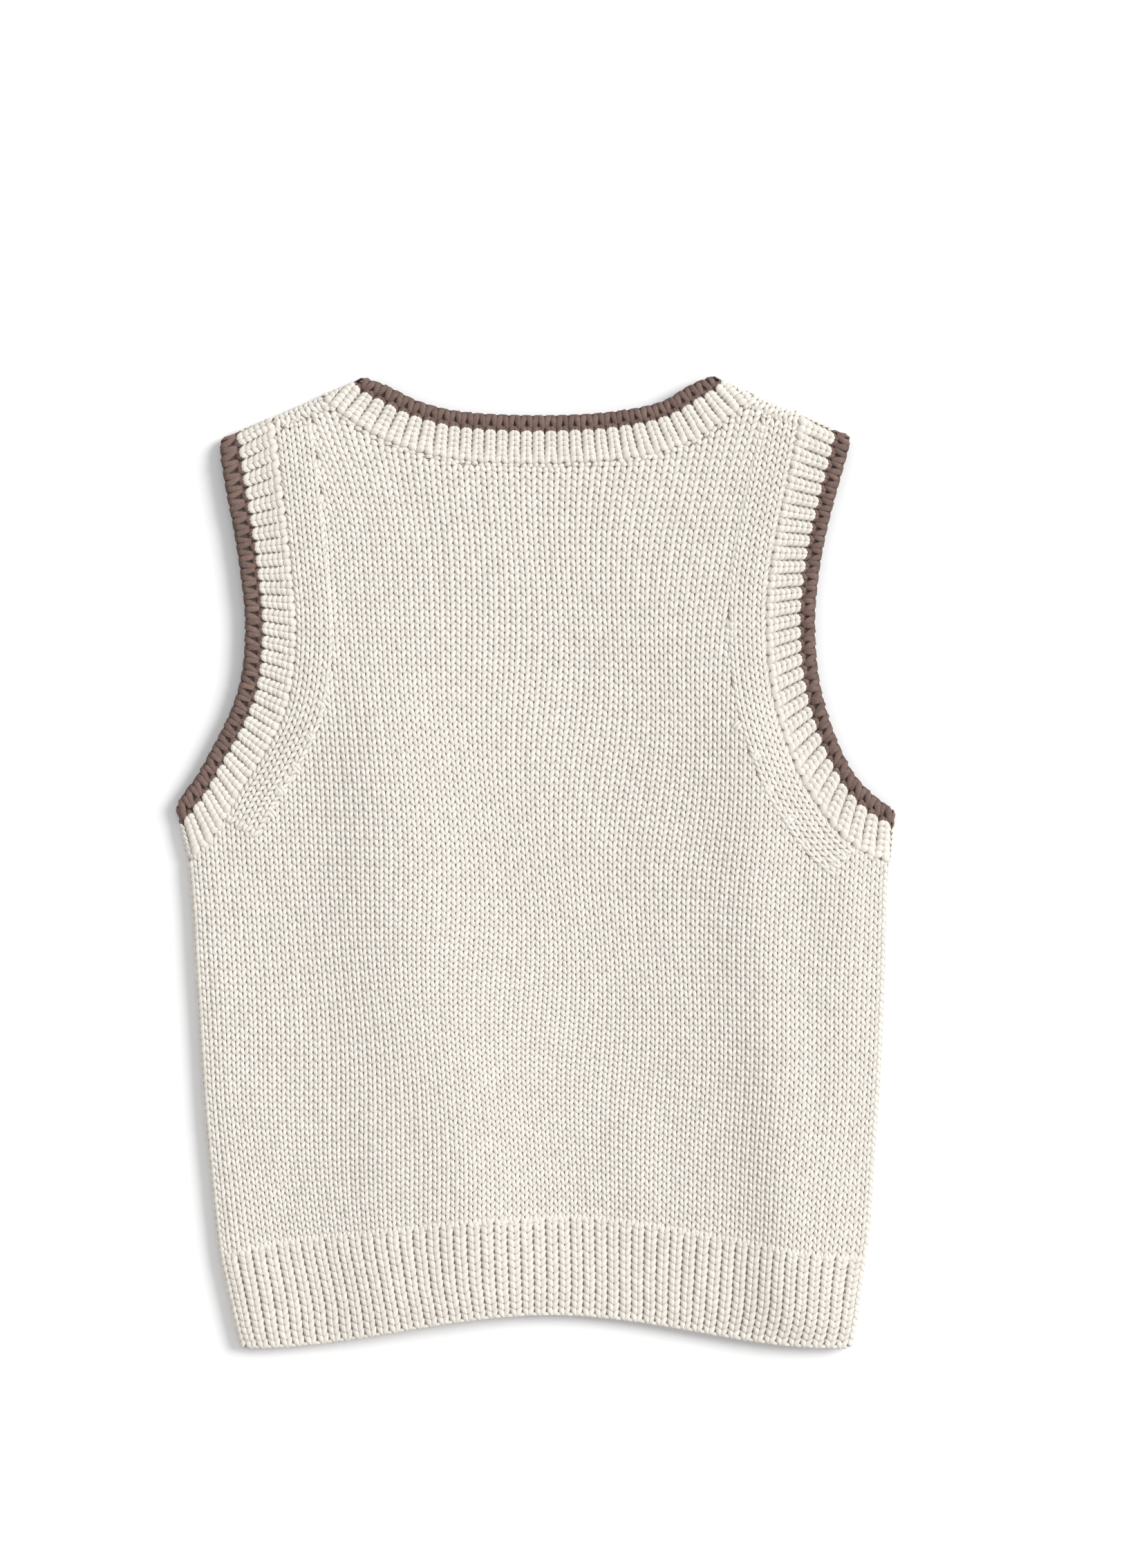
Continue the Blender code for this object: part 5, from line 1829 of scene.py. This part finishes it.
@dataclass
class RibbedBand(SubAssembly):
    """A ribbed band round an opening, with its tipped edge."""

    ring: BandRing
    share: float  # of its width that is cream
    names: tuple[str, str]  # nodes of the band and of its tipping
    seed: int
    # rows of the chain at the seam: foot in mm from the seam, rise to its end, and height out of the face
    chain: Table = ((2.9, -2.7, -1.1), (-1.7, 2.6, -0.95))
    stitch: float = 2.6
    first_foot: float = 0.5  # how far past its edge the cream's first stitches start
    spread: float = 0.3  # how much wider the ribs are where they meet the seam, which fades the grooves
    fade: float = 8.5  # distance from the seam within which they widen, in mm
    past_fold: float = 2.0  # ribs past a fold that still show, as they lean
    purl_side: float = 0.17  # how far from its groove's middle a purl bump starts, in ribs
    purl_foot: float = 0.35  # and how far up its course
    # painted shade of the ribs' strands, along their rims and all over
    shades: tuple[float, float] = (0.22, 0.16)
    ground_from: float = 0.2  # where the grounds start, meet and end, in mm from seam, cream's edge and rim
    ground_meets: float = 0.7
    ground_ends: float = 1.3
    ground_gap: float = 0.1  # half the gap between them
    cell: float = 0.25  # of a ground, in ribs
    cells: int = 6  # points across a ground
    ground_depth: float = 1.4
    wall: float = 1.15

    def __post_init__(self) -> None:
        """Starts the random numbers."""
        self.knitting = Knitting(self.seed)
        self.cream_width = self.ring.width * self.share

    def visible(self, a: Array) -> Array:
        """Whether a place round the ring is on the back or in a fold."""
        return (a < self.ring.ribs + 1 + self.past_fold) | (a > self.ring.total - 1 - self.past_fold)

    def knit_ribs(self) -> list[bpy.types.Object]:
        """Knits the cream ribs, the purl bumps between them, and the chain that joins them to the panels.

        Returns:
            The pieces.
        """
        ribs = middles(self.ring.total)
        count = round(self.cream_width / self.stitch)
        course = self.cream_width / count
        pieces = []
        for label, leg, section, purl in (
            ("knit", BAND_LEG, TOP_SECTION, PURL),
            ("hidden_knit", HIDDEN_BAND_LEG, HIDDEN_SECTION, HIDDEN_PURL),
        ):
            here = ribs[self.visible(ribs) == (label == "knit")]
            mesh = YarnMesh(f"{self.names[0]}_{label}", section, *self.shades)
            places = grid_of(here, self.cream_width + self.first_foot - np.arange(count) * course)
            wide = 1.0 + self.spread * (1 - np.clip(places[1] / self.fade, 0.0, 1.0))
            self.knitting.stitches(mesh, self.ring, leg, places, step=(1.0, -course), wide=wide)
            grooves, feet = grid_of(np.ceil(here), (np.arange(count) + self.purl_foot) * course)
            self.knitting.bows(mesh, self.ring, purl, grooves - self.purl_side, feet)
            starts = (here[:, None] + np.array([-0.5, 0.0])).ravel()
            for foot, rise, height in self.chain:
                self.knitting.bows(mesh, self.ring, chain_bow(height, rise), starts, foot)
            pieces.append(self.made(mesh, self.names[0]))
        return pieces

    def knit_tipping(self) -> bpy.types.Object:
        """Knits the brown edge: two rounds of thick stitches that meet in the grooves, and a cast-off rim.

        Returns:
            The piece.
        """
        mesh = YarnMesh(f"{self.names[1]}_knit")
        for run in TIPPING_ROUNDS:
            for hand in (-1, 1):
                self.knitting.tipping(mesh, self.ring, run, hand, self.cream_width)
        self.knitting.tipping(mesh, self.ring, TIPPING_RIM, 1, self.cream_width)
        return self.made(mesh, self.names[1], BROWN_YARN)

    def ground(self, start: float, stop: float, node: str, yarn: HeatherYarn) -> bpy.types.Object:
        """The shell under the stitches, between two distances from the seam.

        Args:
            start: Where it starts, in mm from the seam.
            stop: Where it ends.
            node: The node that it replaces.
            yarn: Its finish.

        Returns:
            The new object.
        """
        places = np.arange(0.0, self.ring.total, self.cell)
        a, b = np.meshgrid(places, np.linspace(start, stop, self.cells), indexing="ij")
        depths = (self.ground_depth, self.ground_depth + self.wall)
        faces = [self.ring.point(a, b, np.full(a.shape, -depth)) for depth in depths]
        return self.made(Shell(f"{node}_ground", *faces, self.ring.flat(a, b), closed=True), node, yarn)

    def build(self, rests_on: bpy.types.Object) -> None:
        """Builds the band and its tipping.

        Args:
            rests_on: The front's ground, which the band is sewn to; not used.
        """
        meet, end = self.cream_width - self.ground_meets, self.ring.width - self.ground_ends
        cream = self.ground(self.ground_from, meet - self.ground_gap, self.names[0], CREAM_YARN)
        brown = self.ground(meet + self.ground_gap, end, self.names[1], BROWN_YARN)
        worked_on = [*self.knit_ribs(), brown, self.knit_tipping()]


@dataclass
class Pullover:
    """The whole garment."""

    lie: Lie
    finishes: dict[HeatherYarn, bpy.types.Material]
    ribs: tuple[int, int] = (30, 32)  # of the left and right armband on the back, and as many underneath
    cream: tuple[float, float] = (0.61, 0.65)  # share of their width that is cream
    band_width: float = 23.6
    leans: tuple[Table, Table] = (
        ((0, 0.1), (0.06, 0.4), (0.2, 0.75), (0.4, 0.85), (0.6, 0.7), (0.8, 0.5), (1, 0.6)),
        ((0, -0.3), (0.12, 0), (0.3, 0.8), (0.6, 0.75), (0.75, 0.5), (0.88, 0.3), (1, 0.2)),
    )
    neck_ribs: tuple[int, int] = (29, 52)  # on the back and underneath
    neck_cream: float = 0.63
    neck_width: float = 22.8
    neck_lean: Table = (
        (0, 1.5), (0.12, 1.6), (0.22, 1.8), (0.32, 1.2), (0.4, 0.65), (0.5, 0), (0.59, -0.5), (0.72, -1.1),
        (0.79, -1.1), (0.93, -1.4), (1, -1.4),
    )  # fmt: skip
    neck_chain: Table = ((2.1, -1.1, -1.1), (-1.35, 1.3, -0.9))
    seeds: tuple[int, int, int] = (31, 40, 42)  # of the neckband and the left and right armband

    def build(self) -> None:
        """Builds every sub-assembly in order."""
        front = FrontPanel(self.lie, self.finishes).build()
        BackPanel(self.lie, self.finishes).build(front)
        plan = self.lie.plan
        back, under = (plan.neck_seam, plan.neck_edge), (plan.front_neck_seam, plan.front_neck_edge)
        folds = tuple(plan.shoulder_fold.values())
        ring = BandRing(self.lie, back, under, folds, *self.neck_ribs, self.neck_width, self.neck_lean)
        names = ("neckband", "neck_tipping")
        band = (ring, self.neck_cream, names, self.seeds[0], self.neck_chain)
        RibbedBand(self.lie, self.finishes, *band).build(front)
        for side, ribs, cream, lean, seed in zip(Side, self.ribs, self.cream, self.leans, self.seeds[1:]):
            curves = (plan.arm_seam[side], plan.arm_edge[side])
            folds = (plan.underarm_fold[side], plan.shoulder_fold[side])
            ring = BandRing(self.lie, curves, curves, folds, ribs, ribs, self.band_width, lean)
            names = (f"armband_{side.value}", f"arm_tipping_{side.value}")
            RibbedBand(self.lie, self.finishes, ring, cream, names, seed).build(front)


# ---------------------------------------------------------------- studio


@dataclass(frozen=True)
class Lamp:
    """A soft light from far off, as even over the whole garment as a wall of cloth-covered lamps."""

    name: str
    azimuth: float  # where it comes from in plan, in degrees from +X towards +Y
    elevation: float
    angle: float  # how wide it looks from the garment, in degrees
    strength: float  # watts a square metre

    def build(self) -> None:
        """Hangs the light."""
        data = bpy.data.lights.new(self.name, "SUN")
        data.angle = math.radians(self.angle)
        data.energy = self.strength
        a, e = math.radians(self.azimuth), math.radians(self.elevation)
        towards = Vector((math.cos(e) * math.cos(a), math.cos(e) * math.sin(a), math.sin(e)))
        link(self.name, data).rotation_euler = towards.to_track_quat("Z", "Y").to_euler()


@dataclass
class Studio:
    """The pale floor, the soft lights and the camera straight above."""

    aim: tuple[float, float] = (14.9, 35.4)  # middle of the frame, in mm
    frame_height: float = 725.8  # of the surface that the frame shows, in mm
    lens: float = 85.0
    sensor: float = 36.0
    floor_half: float = 4.0  # in metres
    floor_drop: float = 0.0005
    floor_roughness: float = 0.9
    sky: float = 0.55
    lamps: tuple[Lamp, ...] = (
        Lamp("soft key on the right", 22.0, 35.5, 30.0, 3.05),
        Lamp("soft fill from above", 120.0, 70.0, 60.0, 0.4),
    )

    def floor(self) -> None:
        """A wide floor of matt white paper, which shows as an even pale ground."""
        mesh = bpy.data.meshes.new("floor")
        signs = ((-1, -1), (1, -1), (1, 1), (-1, 1))
        corners = [(x * self.floor_half, y * self.floor_half, 0.0) for x, y in signs]
        mesh.from_pydata(corners, [], [(0, 1, 2, 3)])
        material = bpy.data.materials.new("matt white paper sweep")
        material.use_nodes = True
        shader = material.node_tree.nodes["Principled BSDF"]
        shader.inputs["Base Color"].default_value = linear("#F4F4F4")
        shader.inputs["Roughness"].default_value = self.floor_roughness
        mesh.materials.append(material)
        floor = link("floor", mesh)
        floor.location.z = -self.floor_drop

    def camera(self) -> None:
        """The camera, straight above the garment."""
        data = bpy.data.cameras.new("camera")
        data.lens = self.lens
        data.sensor_width = self.sensor
        camera = link("camera", data)
        height = self.frame_height * MM * self.lens / self.sensor
        camera.location = (self.aim[0] * MM, self.aim[1] * MM, height)
        bpy.context.scene.camera = camera

    def build(self) -> None:
        """Sets up the studio."""
        self.floor()
        for lamp in self.lamps:
            lamp.build()
        world = bpy.data.worlds.new("studio")
        world.use_nodes = True
        background = world.node_tree.nodes["Background"]
        background.inputs["Color"].default_value = (1.0, 1.0, 1.0, 1.0)
        background.inputs["Strength"].default_value = self.sky
        bpy.context.scene.world = world
        bpy.context.scene.view_settings.view_transform = "Standard"
        self.camera()


def main() -> None:
    """Builds the garment and its studio."""
    logging.basicConfig(level=logging.INFO, format="%(name)s: %(message)s")
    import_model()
    plan = GarmentPlan()
    lie = Lie(plan, Relief(plan))
    finishes = {yarn: yarn.build() for yarn in (CREAM_YARN, BROWN_YARN)}
    Pullover(lie, finishes).build()
    Studio().build()


if __name__ == "__main__":
    main()
